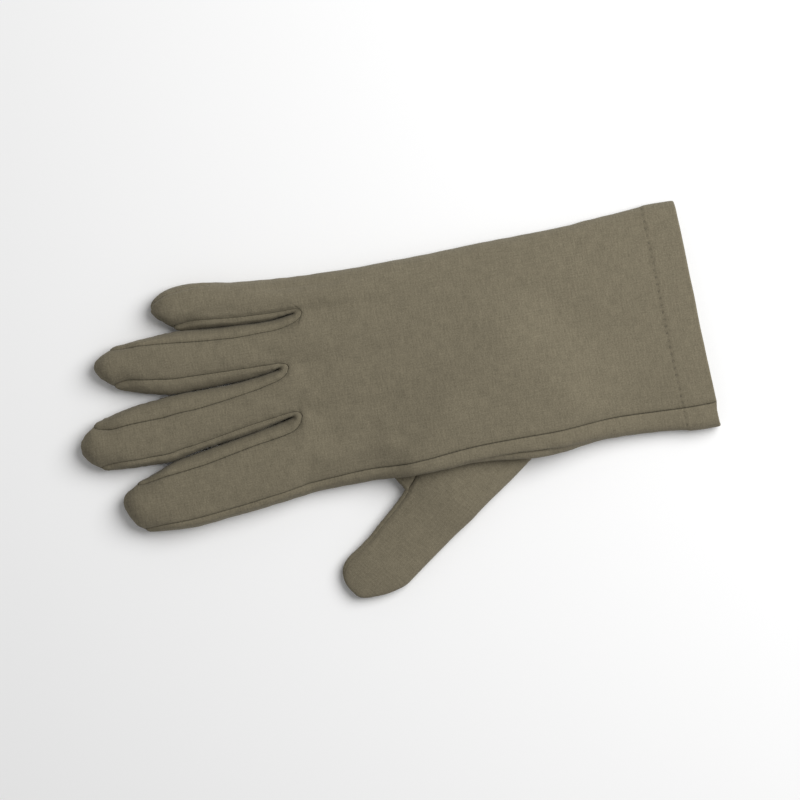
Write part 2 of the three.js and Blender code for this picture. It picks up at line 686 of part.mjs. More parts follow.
// The same loop drawn in towards its middle until it lies a depth inside each of its sides.
function insetLoop(loop, depth) {
  const middle = new THREE.Box3().setFromPoints(loop).getCenter(new THREE.Vector3());
  const sides = loop.map((a, i) => {
    const b = loop[(i + 1) % loop.length];
    const normal = new THREE.Vector3(0, a.z - b.z, b.y - a.y).normalize();
    return { normal, distance: a.clone().sub(middle).dot(normal) };
  });
  return loop.map((point) => {
    const out = point.clone().sub(middle);
    const shares = sides
      .filter((side) => side.normal.dot(out) > 0)
      .map((side) => (side.distance - depth) / side.normal.dot(out));
    return out.multiplyScalar(Math.min(...shares)).add(middle);
  });
}

// A band of cloth inside the hand, all round it, over some of its rows.
function innerBand(rows, outerDepth, innerDepth) {
  const outer = rows.map((row) => insetLoop(loopOf(row), outerDepth));
  const inner = rows.map((row) => insetLoop(loopOf(row), innerDepth));
  return solidOf(tubeTriangles([...outer, ...inner.reverse()], true));
}

// Triangles of a tube through loops of points, each loop counter-clockwise seen from the first one's side.
// It closes on itself, or ends in flat fans.
function tubeTriangles(loops, closed) {
  const triangles = [];
  const count = loops[0].length;
  const last = closed ? loops.length : loops.length - 1;
  for (let i = 0; i < last; i += 1) {
    const near = loops[i];
    const far = loops[(i + 1) % loops.length];
    for (let j = 0; j < count; j += 1) {
      const k = (j + 1) % count;
      triangles.push([near[j], near[k], far[k]], [near[j], far[k], far[j]]);
    }
  }
  if (closed) return triangles;
  const cap = (loop, turn) => {
    const centre = new THREE.Vector3();
    for (const p of loop) centre.addScaledVector(p, 1 / count);
    loop.forEach((p, j) => {
      const q = loop[(j + 1) % count];
      triangles.push(turn ? [centre, q, p] : [centre, p, q]);
    });
  };
  cap(loops[0], true);
  cap(loops[loops.length - 1], false);
  return triangles;
}

// A sine or cosine whose circle is drawn out towards a square.
function squared(turn) {
  return Math.sign(turn) * Math.abs(turn) ** THUMB_SQUARENESS;
}

// The thumb: flat tubes round its middle line, closed at both ends.
// inset: how far inside the thumb's outside the tube lies.
function thumbTube(inset) {
  const loops = [];
  for (let i = 0; i <= THUMB_ROWS; i += 1) {
    const p = mix(inset, THUMB_LENGTH - inset, thumbRowShare(i / THUMB_ROWS));
    const narrow = roundShare(Math.min(p - inset, THUMB_LENGTH - inset - p) / THUMB_TIP_ROUND);
    const share = p / THUMB_LENGTH;
    const height = thumbHeight(p);
    const half = height / 2 - inset;
    const loop = [];
    for (let j = 0; j < THUMB_COLUMNS; j += 1) {
      const a = (2 * Math.PI * j) / THUMB_COLUMNS;
      const across = Math.cos(a);
      const up = Math.sin(a);
      const side = across > 0 ? "left" : "right";
      const width = THUMB_WIDTH * along(THUMB_SIDES, side, share) - inset;
      const q = squared(across) * width * mix(THUMB_END.wide, 1, narrow);
      const z = height / 2 + squared(up) * half * mix(THUMB_END.high, 1, narrow);
      const plan = thumbTip.clone().addScaledVector(thumbAxis, p).addScaledVector(thumbSide, q);
      loop.push(new THREE.Vector3(plan.x, plan.y, z));
    }
    loops.push(loop);
  }
  return solidOf(tubeTriangles(loops, false));
}

// Rows of the thumb lie closer together at its ends.
function thumbRowShare(t) {
  return mix(t, (1 - Math.cos(Math.PI * t)) / 2, THUMB_BUNCHING);
}

// The round of cloth left out where thumb and palm meet, as a post through both.
function thumbHole() {
  const p = THUMB_LENGTH - THUMB_HOLE.from_base;
  const centre = thumbTip.clone().addScaledVector(thumbAxis, p);
  const floor = thumbHeight(p) / 2;
  const roof = thumbHeight(p) + THUMB_CLEARANCE + CLOTH + THUMB_HOLE.past_palm;
  const outline = new THREE.Shape();
  outline.absellipse(0, 0, THUMB_HOLE.long / 2, THUMB_HOLE.wide / 2, 0, 2 * Math.PI);
  const post = new THREE.ExtrudeGeometry(outline, {
    depth: roof - floor,
    bevelEnabled: false,
    curveSegments: HOLE_SEGMENTS,
  });
  post.rotateZ(thumbTurn);
  post.translate(centre.x, centre.y, floor);
  return solidFrom(post);
}

function geometryOf(solid) {
  const mesh = solid.getMesh();
  const geometry = new THREE.BufferGeometry();
  const places = Float32Array.from(mesh.vertProperties);
  geometry.setAttribute("position", new THREE.BufferAttribute(places, 3));
  geometry.setIndex([...mesh.triVerts]);
  geometry.computeVertexNormals();
  return geometry;
}

const wool = new THREE.MeshStandardMaterial({
  name: "wool",
  color: 0x6f6853,
  roughness: 0.95,
  metalness: 0,
});
const glove = new THREE.Group();
glove.name = "glove";

function addPart(name, solid) {
  const mesh = new THREE.Mesh(geometryOf(solid), wool);
  mesh.name = name;
  glove.add(mesh);
}

const hole = thumbHole();
addPart("trank_back", clothPanel("back"));
addPart("trank_palm", clothPanel("palm").subtract(hole));
for (const gap of GAPS) addPart(`fourchette_${gap.name}`, clothPanel(gap.name));
addPart("thumb", thumbTube(0).subtract(thumbTube(CLOTH)).subtract(hole));
const hemRows = handRows.filter((_, i) => HAND_ROWS[i] <= 1);
addPart("cuff_hem", innerBand(hemRows, CLOTH + SEAM_GAP, 2 * CLOTH + SEAM_GAP));

export default glove;
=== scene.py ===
# Looks of a thin knitted wool glove that lies on its palm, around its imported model.
# Lengths are in millimetres until a mesh is made.
# +X runs towards the cuff, +Y towards the little finger and +Z up out of the back of the hand.
import math

import bpy
import numpy as np
from mathutils.kdtree import KDTree
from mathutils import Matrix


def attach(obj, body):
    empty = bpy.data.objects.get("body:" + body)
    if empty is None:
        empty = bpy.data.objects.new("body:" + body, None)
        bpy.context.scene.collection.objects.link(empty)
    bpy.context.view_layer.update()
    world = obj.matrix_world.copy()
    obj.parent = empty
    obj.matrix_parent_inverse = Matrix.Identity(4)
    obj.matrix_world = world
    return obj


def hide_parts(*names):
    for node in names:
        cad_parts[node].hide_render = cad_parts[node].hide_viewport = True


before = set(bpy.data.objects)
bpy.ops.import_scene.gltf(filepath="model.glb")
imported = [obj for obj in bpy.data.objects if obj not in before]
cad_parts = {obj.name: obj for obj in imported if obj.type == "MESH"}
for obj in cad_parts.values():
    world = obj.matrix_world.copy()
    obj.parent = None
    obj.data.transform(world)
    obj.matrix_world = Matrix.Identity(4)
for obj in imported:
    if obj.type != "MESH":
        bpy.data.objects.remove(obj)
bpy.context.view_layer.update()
rng = np.random.default_rng(11)
MM = 0.001

# Numbers of the cloths that the faces of a skin belong to
BACK = 0
PALM = 1
FOURCHETTES = (2, 3, 4)
THUMB_TOP = 5
THUMB_UNDER = 6

# Hand, from the cuff edge past the wrist to the line through the knuckles
HAND_LENGTH = 156.5
HAND_WIDTH = 81
CUFF_X = 38
CUFF_WIDTH = 87
CUFF_SLANT = 1.3
CUFF_HEIGHT = 11
HAND_HEIGHT = 13
SIDE_SEAM_HEIGHT = 9
FOLD_HEIGHT = 8.6
FOLD_INSET = 4
FOLD_END = 0.5
FULL_HEIGHT_AT = 0.5
ROOTS_BEGIN_AT = 0.4
LEVEL_UNTIL = 0.1
LEVEL_FADE = 0.4
KNUCKLE_X = CUFF_X - HAND_LENGTH

# Roundness of the cloth across the hand and the fingers, as powers
BACK_ROUNDNESS = 2.3
PALM_ROUNDNESS = 2.5
PALM_EDGE_HEIGHT = 2
PALM_FLAT = 0.4
WALL_ROUNDNESS = 0.75
WALL_BULGE = 0.65
STRIP_ROUNDNESS = 1
STRIP_BULGE = 0.5
FOLD_ROUNDNESS = 0.5
FOLD_BULGE = 0.9

# Fingers, measured from the knuckle line
FINGER_LENGTHS = (71, 83.2, 72.6, 47.5)
TIP_SHIFTS = (0.2, 0.04, 0.06, 0)
FINGER_HEIGHT = 12
FINGER_FALL = 1.2
FINGER_SEAM_HEIGHT = 9.9
FINGER_SEAM_REACH = 8
FINGER_SPAN = 80
TIP_ROUND = 9
TIP_HEIGHT = 3.4
TIP_CROWN = 4.4
TIP_CROWN_ROUNDNESS = 0.8
TIP_SIDE_SHARE = 0.55
FOURCHETTE_STOP = 5.5
FOURCHETTE_TAPER = 7
FOURCHETTE_TAPER_ROUNDNESS = 0.55
SEAM_FALL = 13
SLIT = 0.6
CROTCH_HEIGHT = 10.8
CROTCH_LEAN = 4.2
CROTCH_ROUND = 5

# Thumb, lying flat beside and under the palm
THUMB_LENGTH = 107
THUMB_WIDTH = 26
THUMB_HEIGHT = 9
THUMB_BASE_HEIGHT = 7.6
THUMB_TURN = math.radians(38.5)
THUMB_SQUARENESS = 0.7
THUMB_TIP_ROUND = 16
THUMB_BASE_SLOPE = 34
THUMB_BASE_THIN = 0.06
THUMB_END_WIDE = 0.12
THUMB_END_HIGH = 0.4
THUMB_TIP = np.array([KNUCKLE_X + 9.5, -HAND_WIDTH / 2 - 40.7])
THUMB_AXIS = np.array([math.cos(THUMB_TURN), math.sin(THUMB_TURN)])
THUMB_SIDE = np.array([-THUMB_AXIS[1], THUMB_AXIS[0]])
THUMB_CLEARANCE = 0.6
HOLE_FROM_BASE = 17
HOLE_LONG = 22
HOLE_WIDE = 15
HOLE_PALM_TOP = 14
HOLE_THUMB_TOP = 12
PALM_LIFT_REACH = 13
BACK_LIFT_REACH = 28
BACK_LIFT_SHARE = 0.5

# Outline of the hand. at: share of the hand's length from the cuff edge.
# The others: shares of the width there, from the middle of the hand.
HAND_OUTLINE = {
    "at": (0, 0.08, 0.14, 0.26, 0.38, 0.5, 0.6, 0.75, 0.87, 1),
    "low_edge": (-0.496, -0.495, -0.483, -0.474, -0.487, -0.477, -0.479, -0.495, -0.486, -0.5),
    "seam": (-0.393, -0.395, -0.392, -0.387, -0.404, -0.407, -0.413, -0.44, -0.437, -0.458),
    "high_edge": (0.498, 0.505, 0.5, 0.489, 0.489, 0.491, 0.49, 0.493, 0.5, 0.519),
}

# Outer sides of the index and little fingers. at: share of FINGER_SPAN from the knuckles.
# The others: shares of HAND_WIDTH from the middle of the hand.
OUTER_SIDES = {
    "at": (0, 0.2, 0.3, 0.4, 0.6, 0.75, 1),
    "low_edge": (-0.5, -0.519, -0.531, -0.54, -0.552, -0.542, -0.51),
    "seam": (-0.458, -0.484, -0.496, -0.507, -0.522, -0.521, -0.502),
    "high_edge": (0.519, 0.542, 0.561, 0.57, 0.554, 0.548, 0.54),
}

# The three gaps, as shares of HAND_WIDTH, with at as a share of FINGER_SPAN from the knuckles.
# valley: where two fingers meet. low_open, high_open: how far each has left that line.
# low_strip, high_strip: width of the fourchette seen from above on each finger.
GAPS = (
    {
        "name": "index_middle",
        "setback": 0.0235,
        "at": (-0.02, 0.08, 0.22, 0.46, 0.575, 0.63, 0.7, 0.8, 1),
        "valley": (-0.132, -0.154, -0.178, -0.211, -0.232, -0.246, -0.258, -0.275, -0.296),
        "low_open": (0, 0, 0, 0, 0, 0.002, 0.017, 0.026, 0.024),
        "high_open": (0, 0, 0, 0, 0, 0.009, 0.024, 0.045, 0.085),
        "low_strip": (0.052, 0.053, 0.049, 0.061, 0.054, 0.042, 0.022, 0.016, 0.012),
        "high_strip": (0.022, 0.032, 0.04, 0.033, 0.04, 0.035, 0.033, 0.028, 0.024),
    },
    {
        "name": "middle_ring",
        "setback": 0,
        "at": (0, 0.08, 0.22, 0.46, 0.56, 0.62, 0.7, 0.8, 1),
        "valley": (0.101, 0.087, 0.075, 0.073, 0.073, 0.075, 0.085, 0.094, 0.113),
        "low_open": (0, 0, 0, 0, 0, 0.009, 0.028, 0.054, 0.117),
        "high_open": (0, 0, 0, 0, 0, 0.012, 0.024, 0.047, 0.094),
        "low_strip": (0.036, 0.042, 0.056, 0.087, 0.09, 0.09, 0.082, 0.068, 0.04),
        "high_strip": (0.02, 0.036, 0.054, 0.066, 0.071, 0.067, 0.055, 0.046, 0.03),
    },
    {
        "name": "ring_little",
        "setback": 0.1123,
        "at": (-0.114, 0, 0.1, 0.22, 0.46, 0.5, 0.56, 0.7, 0.8, 1),
        "valley": (0.347, 0.333, 0.336, 0.344, 0.362, 0.366, 0.38, 0.399, 0.408, 0.418),
        "low_open": (0, 0, 0, 0, 0, 0.003, 0.019, 0.047, 0.066, 0.094),
        "high_open": (0, 0, 0, 0, 0, 0.007, 0.019, 0.03, 0.04, 0.05),
        "low_strip": (0.033, 0.045, 0.051, 0.06, 0.056, 0.05, 0.041, 0.02, 0.014, 0.01),
        "high_strip": (0.016, 0.026, 0.029, 0.029, 0.042, 0.05, 0.05, 0.03, 0.02, 0.02),
    },
)

# The thumb's sides, as shares of THUMB_WIDTH from its middle line, with at as a share of its
# length from the tip. height: 1 for THUMB_HEIGHT, 0 for THUMB_BASE_HEIGHT, below 0 for less.
THUMB_SIDES = {
    "at": (0, 0.13, 0.25, 0.34, 0.44, 0.5, 0.8, 1),
    "left": (0.6, 0.39, 0.395, 0.415, 0.475, 0.54, 0.6, 0.6),
    "right": (0.28, 0.46, 0.49, 0.515, 0.55, 0.57, 0.64, 0.64),
    "height": (-1.3, -1.25, -1, -0.6, 0.5, 1, 0.5, 0),
}

# The fold of the palm's edge that reaches out from under the side seam.
# at: share of the hand's length. reach and length: shares of HAND_WIDTH.
EDGE_FOLD = {"at": 0.453, "reach": 0.024, "length": 0.2}
EDGE_FOLD_FROM = 0.7
EDGE_FOLD_RISE = 0.13
EDGE_TUCK = 1.15
EDGE_TUCK_WIDTH = 0.07

# Where the seam of the little finger's outer side lies between the back's edge, 0, and the palm's, 1.
# at: share of the finger's length from the knuckle line.
LITTLE_SEAM = {
    "at": (0, 0.15, 0.38, 0.46, 0.56, 0.66, 0.8, 1),
    "down": (0.5, 0.62, 0.95, 0.74, 0.5, 0.36, 0.3, 0.3),
}

# The thumb's seam, and the web of cloth between thumb and hand that its left side widens to
THUMB_COLUMNS = 72
SEAM_COLUMN = 6
WEB_FROM = 42.4
WEB_RISE = 1.3
WEB_REACH = 7
WEB_END = 70
WEB_FADE = 15
THUMB_CLOTH_X = -400

# Cloth and sewing
CLOTH = 0.8
FULLNESS = 0.35
HEM_WIDTH = 13
HEM_GAP = 0.12
HEM_SWELL = 0.3
HEM_SWELL_FADE = 3
HEM_LINE_DEPTH = 0.07
HEM_LINE_WIDTH = 0.7
HEM_INNER_REACH = 0.3
CUFF_EDGE = 0.001
CUFF_BOW = 0.8
CUFF_BOW_FROM = 4
CUFF_BOW_LENGTH = 36
CUFF_ROLL_DEPTH = 0.97
SEAM_SLIT = 0.03
SEAM_ROLL = 0.6
ROLL_DEPTH = 1.25
LEAST_ROLL = 0.1
ROLL_FROM = 0.1
ROLL_FADE = 0.5
ROLL_SHARE_OF_ROOM = 0.7
WALL_UNDER_ROLL = 0.2
ROLL_STEPS = 4
LEAST_OVER_FLOOR = CLOTH / 3
SEAM_SINK = 0.25
LIP_HEIGHT = 0.16
LIP_FROM_SEAM = 1.6
LIP_WIDTH = 0.8
PUCKER_HEIGHT = 0.12
PUCKER_REACH = 3
PUCKER_LENGTH = 3.2
STITCH_PITCH = 2.7
STITCH_LENGTH = 0.85
STITCH_WIDTH = 0.4
STITCH_HEIGHT = 0.24
STITCHES_EACH_WAY = 18
STITCH_SEARCH = 1.4
STITCH_POINTS = 6
STITCH_SPREAD = 3 * STITCH_SEARCH
STITCH_OFFSET = STITCH_SEARCH / 3
STITCH_SIZES = (0.8, 1.15)
STITCH_RINGS = 5
STITCH_SIDES = 8

# Unevenness of the cloth: height and length of its long and its short waves, and how waves vary
GLOVE_WAVES = ((0.14, 26), (0.06, 9))
THUMB_WAVES = ((0.12, 22), (0.04, 9))
WAVE_NUMBERS = (0.7, 1.5)
WAVE_SLOPE = 0.4

# How finely the cloth is divided: rows, columns and steps, and where steps change
HEM_ROWS = 10
HEM_LINE_ROWS = 9
HEM_LINE_REACH = 1.4
STEP_BEFORE_LINE = 0.4
STEP_BEYOND_LINE = 1
HAND_ROWS = 118
CROTCH_ROWS = 10
FINGER_STEP = 1.2
TIP_ROWS = 16
TIP_TURN = (6, 88)
FINGER_COLUMNS = 18
WALL_COLUMNS = 14
THUMB_TIP_ROWS = 16
THUMB_STEP = 1.2
THUMB_UPPER_STEP = 1.4
THUMB_BASE_ROWS = 18
WEB_STEP = 0.35
WEB_FIRST_STEP = 0.5
WEB_BEFORE = 1.4
WEB_AFTER = 1
THUMB_TIP_SPAN = (0.03, 0.99)
THUMB_BASE_TURN = (2, 90)
SEAM_SHARES = (0, 0.33, 0.67, 1)
SMOOTHINGS = 3
THUMB_SMOOTHINGS = 2

# Points that are the same when rounded to a millimetre divided by this are joined
WELD = 997
PIECE_WELD = 9973

# In place of a length of zero
TINY = 1e-9


def mix(a, b, t):
    return a + (b - a) * t


def clamp01(t):
    return np.clip(t, 0, 1)


def smooth(t):
    t = clamp01(t)
    return t * t * (3 - 2 * t)


def round_share(share):
    """Width of a round end as a share of its full width, at a share of its length from its tip."""
    t = clamp01(share)
    return np.sqrt(t * (2 - t))


def along(table, column, at):
    """Values of a table's column at some places, on a smooth curve through its rows."""
    x = np.array(table["at"], float)
    y = np.array(table[column], float)
    at = np.asarray(at, float)
    i = np.clip(np.searchsorted(x, at) - 1, 0, len(x) - 2)
    before = np.maximum(i - 1, 0)
    after = np.minimum(i + 2, len(x) - 1)
    span = x[i + 1] - x[i]
    t = clamp01((at - x[i]) / span)
    start = (y[i + 1] - y[before]) / (x[i + 1] - x[before]) * span
    end = (y[after] - y[i]) / (x[after] - x[i]) * span
    a = y[i]
    b = y[i + 1]
    return a + t * (start + t * (3 * (b - a) - 2 * start - end + t * (2 * (a - b) + start + end)))


def stacked(x, y, z):
    return np.stack(np.broadcast_arrays(x, y, z), axis=-1).astype(float)


def unit(vector):
    return vector / np.linalg.norm(vector)


def squared(turn):
    return np.sign(turn) * np.abs(turn) ** THUMB_SQUARENESS


def thumb_height(p):
    return mix(THUMB_BASE_HEIGHT, THUMB_HEIGHT, along(THUMB_SIDES, "height", p / THUMB_LENGTH))


def in_thumb_frame(points):
    """How far points lie from the thumb's tip along it, and to the side of its middle line."""
    away = points[..., :2] - THUMB_TIP
    return away @ THUMB_AXIS, away @ THUMB_SIDE


def lifted(points):
    """Points of the hand raised over the thumb: its underside by the thumb's height, its top by a share."""
    p, q = in_thumb_frame(points)
    at = clamp01(p / THUMB_LENGTH)
    half = np.where(q > 0, along(THUMB_SIDES, "left", at), along(THUMB_SIDES, "right", at))
    across = np.maximum(0, np.abs(q) - THUMB_WIDTH * half)
    beside = np.hypot(across, np.maximum(0, p - THUMB_LENGTH))
    palm = 1 - smooth(beside / PALM_LIFT_REACH)
    back = BACK_LIFT_SHARE * (1 - smooth(beside / BACK_LIFT_REACH))
    high = clamp01(points[..., 2] / HAND_HEIGHT)
    raised = points.copy()
    raised[..., 2] += (thumb_height(p) + THUMB_CLEARANCE) * mix(palm, back, high)
    return raised


def back_height(edge, crown, w):
    return mix(crown, edge, np.abs(w) ** BACK_ROUNDNESS)


def palm_height(w):
    return PALM_EDGE_HEIGHT * clamp01((np.abs(w) - PALM_FLAT) / (1 - PALM_FLAT)) ** PALM_ROUNDNESS


def finger_sides(finger, x):
    """Edges of a finger in plan and the widths of the strips beside its back, at some x."""
    at = (KNUCKLE_X - x) / FINGER_SPAN
    w = HAND_WIDTH
    if finger:
        gap = GAPS[finger - 1]
        low_edge = w * (along(gap, "valley", at) + along(gap, "high_open", at)) + SLIT / 2
        low_strip = w * along(gap, "high_strip", at)
    else:
        low_edge = w * along(OUTER_SIDES, "low_edge", at)
        low_strip = w * along(OUTER_SIDES, "seam", at) - low_edge
    if finger < len(GAPS):
        gap = GAPS[finger]
        high_edge = w * (along(gap, "valley", at) - along(gap, "low_open", at)) - SLIT / 2
        high_strip = w * along(gap, "low_strip", at)
    else:
        high_edge = w * along(OUTER_SIDES, "high_edge", at)
        high_strip = np.full_like(high_edge, FOLD_INSET)
    return low_edge, low_strip, high_edge, high_strip


def crotch(gap):
    """Where a crotch lies in plan, on the back and further forward on the palm."""
    x = KNUCKLE_X + HAND_WIDTH * gap["setback"] - np.array([0, CROTCH_LEAN])
    y = HAND_WIDTH * along(gap, "valley", (KNUCKLE_X - x) / FINGER_SPAN)
    return np.stack([x, y], axis=1)


def root_row(finger):
    """The row of points that a finger starts from, on the back and on the palm."""
    low_edge, low_strip, _, _ = finger_sides(0, KNUCKLE_X)
    _, _, high_edge, high_strip = finger_sides(len(GAPS), KNUCKLE_X)
    low = np.array([(KNUCKLE_X, low_edge + low_strip), (KNUCKLE_X, low_edge)])
    high = np.array([(KNUCKLE_X, high_edge - high_strip), (KNUCKLE_X, high_edge)])
    low_height = SIDE_SEAM_HEIGHT
    high_height = FOLD_HEIGHT
    if finger:
        low = crotch(GAPS[finger - 1])
        low_height = CROTCH_HEIGHT
    if finger < len(GAPS):
        high = crotch(GAPS[finger])
        high_height = CROTCH_HEIGHT
    share = np.linspace(0, 1, FINGER_COLUMNS + 1)
    w = 2 * share - 1
    back = mix(low[0], high[0], share[:, None])
    palm = mix(low[1], high[1], share[:, None])
    back_z = back_height(mix(low_height, high_height, share), FINGER_HEIGHT, w)
    return stacked(back[:, 0], back[:, 1], back_z), stacked(palm[:, 0], palm[:, 1], palm_height(w))


def wall(back, palm, roundness=WALL_ROUNDNESS, bulge=WALL_BULGE, middle=0.5):
    """Columns of points from the back's edge round to the palm's edge.

    roundness: 0 where the wall slopes down from its upper edge, 1 where it begins level.
    bulge: 1 for a plain arc, less for a wall that comes out sooner.
    middle: how far round its middle column lies."""
    even = np.linspace(-1, 1, WALL_COLUMNS + 1)
    middle, roundness, bulge = (np.reshape(value, (-1, 1)) for value in (middle, roundness, bulge))
    f = np.where(even < 0, middle * (1 + even), mix(middle, 1, even))
    out = clamp01(np.sin(f * math.pi / 2)) ** bulge
    level = 1 - clamp01(np.cos(f * math.pi / 2)) ** bulge
    x = mix(back[:, None, 0], palm[:, None, 0], out)
    y = mix(back[:, None, 1], palm[:, None, 1], out)
    z = mix(back[:, None, 2], palm[:, None, 2], mix(f, level, roundness))
    return stacked(x, y, z)


class Skin:
    """The outside of the glove: grids of points, joined where they meet."""

    def __init__(self):
        self.points = []
        self.quads = []
        self.flats = []
        self.cloths = []
        self.folds = []
        self.count = 0

    def add(self, grid, flat, cloth, flip=False, fold=False):
        """Adds a grid of points. flat: their places on the cloth. fold: which of them are no seam."""
        rows, columns = grid.shape[:2]
        ids = self.count + np.arange(rows * columns).reshape(rows, columns)
        quads = np.stack([ids[:-1, :-1], ids[:-1, 1:], ids[1:, 1:], ids[1:, :-1]], axis=-1).reshape(-1, 4)
        self.quads.append(quads[:, ::-1] if flip else quads)
        self.points.append(grid.reshape(-1, 3))
        self.flats.append(np.broadcast_to(flat, (rows, columns, 2)).reshape(-1, 2))
        self.folds.append(np.broadcast_to(fold, (rows, columns)).reshape(-1))
        self.cloths.append(np.full(len(quads), cloth))
        self.count += rows * columns

    def weld(self):
        """Joins points that lie in one place, and leaves the faces that are left with no width."""
        points = np.concatenate(self.points)
        folds = np.concatenate(self.folds)
        corners = np.concatenate(self.quads)
        self.flat = np.concatenate(self.flats)[corners]
        self.cloth = np.concatenate(self.cloths)
        _, first, place = np.unique(np.round(points * WELD), axis=0, return_index=True, return_inverse=True)
        place = place.reshape(-1)
        self.xyz = points[first]
        self.fold = np.zeros(len(first), bool)
        self.fold[place[folds]] = True
        self.faces = place[corners]
        kept = np.array([len(set(face)) > 2 for face in self.faces.tolist()])
        self.faces = self.faces[kept]
        self.flat = self.flat[kept]
        self.cloth = self.cloth[kept]

    def edges(self):
        pairs = np.concatenate([self.faces[:, [i, (i + 1) % 4]] for i in range(4)])
        pairs = np.unique(np.sort(pairs, axis=1), axis=0)
        return pairs[pairs[:, 0] != pairs[:, 1]]

    def smooth(self, times):
        """Evens the skin out, so that no corner of it stays sharp. The cuff's edge stays."""
        pairs = self.edges()
        neighbours = np.bincount(pairs.ravel(), minlength=len(self.xyz))
        for _ in range(times):
            total = np.zeros_like(self.xyz)
            np.add.at(total, pairs[:, 0], self.xyz[pairs[:, 1]])
            np.add.at(total, pairs[:, 1], self.xyz[pairs[:, 0]])
            moved = mix(self.xyz, total / neighbours[:, None], 0.5)
            self.xyz = np.where(self.cuff[:, None], self.xyz, moved)

    def normals(self):
        a, b, c, d = (self.xyz[self.faces[:, i]] for i in range(4))
        across = np.cross(c - a, d - b)
        total = np.zeros_like(self.xyz)
        for i in range(4):
            np.add.at(total, self.faces[:, i], across)
        return total / np.maximum(np.linalg.norm(total, axis=1), TINY)[:, None]

    def raise_by(self, height):
        """Moves the skin outwards by a height at each point, but not into the floor."""
        self.xyz += self.normals() * height[:, None]
        self.xyz[:, 2] = np.maximum(self.xyz[:, 2], 0)

    def seam_points(self):
        """Points where two cloths meet, apart from folds."""
        lowest = np.full(len(self.xyz), THUMB_UNDER)
        highest = np.full(len(self.xyz), BACK)
        for i in range(4):
            np.minimum.at(lowest, self.faces[:, i], self.cloth)
            np.maximum.at(highest, self.faces[:, i], self.cloth)
        return (lowest < highest) & ~self.fold


def lengths_round(points):
    """Lengths along each row of points, from its first point."""
    steps = np.linalg.norm(np.diff(points, axis=1), axis=2)
    return np.concatenate([np.zeros((len(points), 1)), np.cumsum(steps, axis=1)], axis=1)


def flat_of_wall(points, edge, column):
    """Places on the cloth of a wall's points: along the hand, and round from an edge at one column."""
    across = lengths_round(points)
    across += (edge - across[:, column])[:, None]
    return np.stack([points[..., 0], across], axis=-1)


def cuff_line(y):
    """Where the cuff's edge lies along X, at some places across it."""
    return CUFF_X - CUFF_SLANT * y / CUFF_WIDTH + CUFF_BOW * smooth((-y - CUFF_BOW_FROM) / CUFF_BOW_LENGTH)


def hand_rows():
    """Places of the hand's rows, as shares of its length from the cuff edge."""
    near_cuff = np.linspace(0, HEM_WIDTH - HEM_LINE_REACH - STEP_BEFORE_LINE, HEM_ROWS)
    hem_line = HEM_WIDTH + np.linspace(-HEM_LINE_REACH, HEM_LINE_REACH, HEM_LINE_ROWS)
    beyond = np.linspace(HEM_WIDTH + HEM_LINE_REACH + STEP_BEYOND_LINE, HAND_LENGTH, HAND_ROWS)
    return np.concatenate([near_cuff, hem_line, beyond]) / HAND_LENGTH


def root_share(at):
    """How far the hand has taken on the shape of the fingers' roots, from 0 to 1."""
    return smooth((at - ROOTS_BEGIN_AT) / (1 - ROOTS_BEGIN_AT)) ** 2


def edge_fold(at):
    """How far the fold of the palm's edge reaches out."""
    away = (at - EDGE_FOLD["at"]) * HAND_LENGTH / (HAND_WIDTH * EDGE_FOLD["length"])
    return HAND_WIDTH * EDGE_FOLD["reach"] * np.exp(-(away ** 2))


def hand_sheet(cloth, at):
    """Points of the hand's back or palm, and their places on the cloth."""
    roots = [root_row(finger)[cloth] for finger in range(len(FINGER_LENGTHS))]
    root = np.concatenate([row[1 if i else 0:] for i, row in enumerate(roots)])
    shares = (root[:, 1] - root[0, 1]) / (root[-1, 1] - root[0, 1])
    w = 2 * shares - 1
    width = mix(CUFF_WIDTH, HAND_WIDTH, at)[:, None]
    high = width * along(HAND_OUTLINE, "high_edge", at)[:, None]
    if cloth == BACK:
        height = mix(CUFF_HEIGHT, HAND_HEIGHT, smooth(at / FULL_HEIGHT_AT))[:, None]
        edge = height / HAND_HEIGHT * mix(SIDE_SEAM_HEIGHT, FOLD_HEIGHT, shares)
        plain_z = back_height(edge, height, w)
        y = mix(width * along(HAND_OUTLINE, "seam", at)[:, None], high - FOLD_INSET, shares)
    else:
        plain_z = palm_height(w)
        y = mix(width * along(HAND_OUTLINE, "low_edge", at)[:, None] - edge_fold(at)[:, None], high, shares)
    z = mix(plain_z, root[:, 2], root_share(at)[:, None])
    level = 1 - smooth((at - LEVEL_UNTIL) / LEVEL_FADE)[:, None]
    cuff_x = cuff_line(y)
    level_x = cuff_x - HAND_LENGTH * at[:, None]
    x = mix(mix(cuff_x, root[:, 0], at[:, None]), level_x, level)
    points = lifted(stacked(x, y, z))
    points[-1] = root
    return points, stacked(x - (cuff_x - CUFF_X) * level, y, 0)[..., :2]


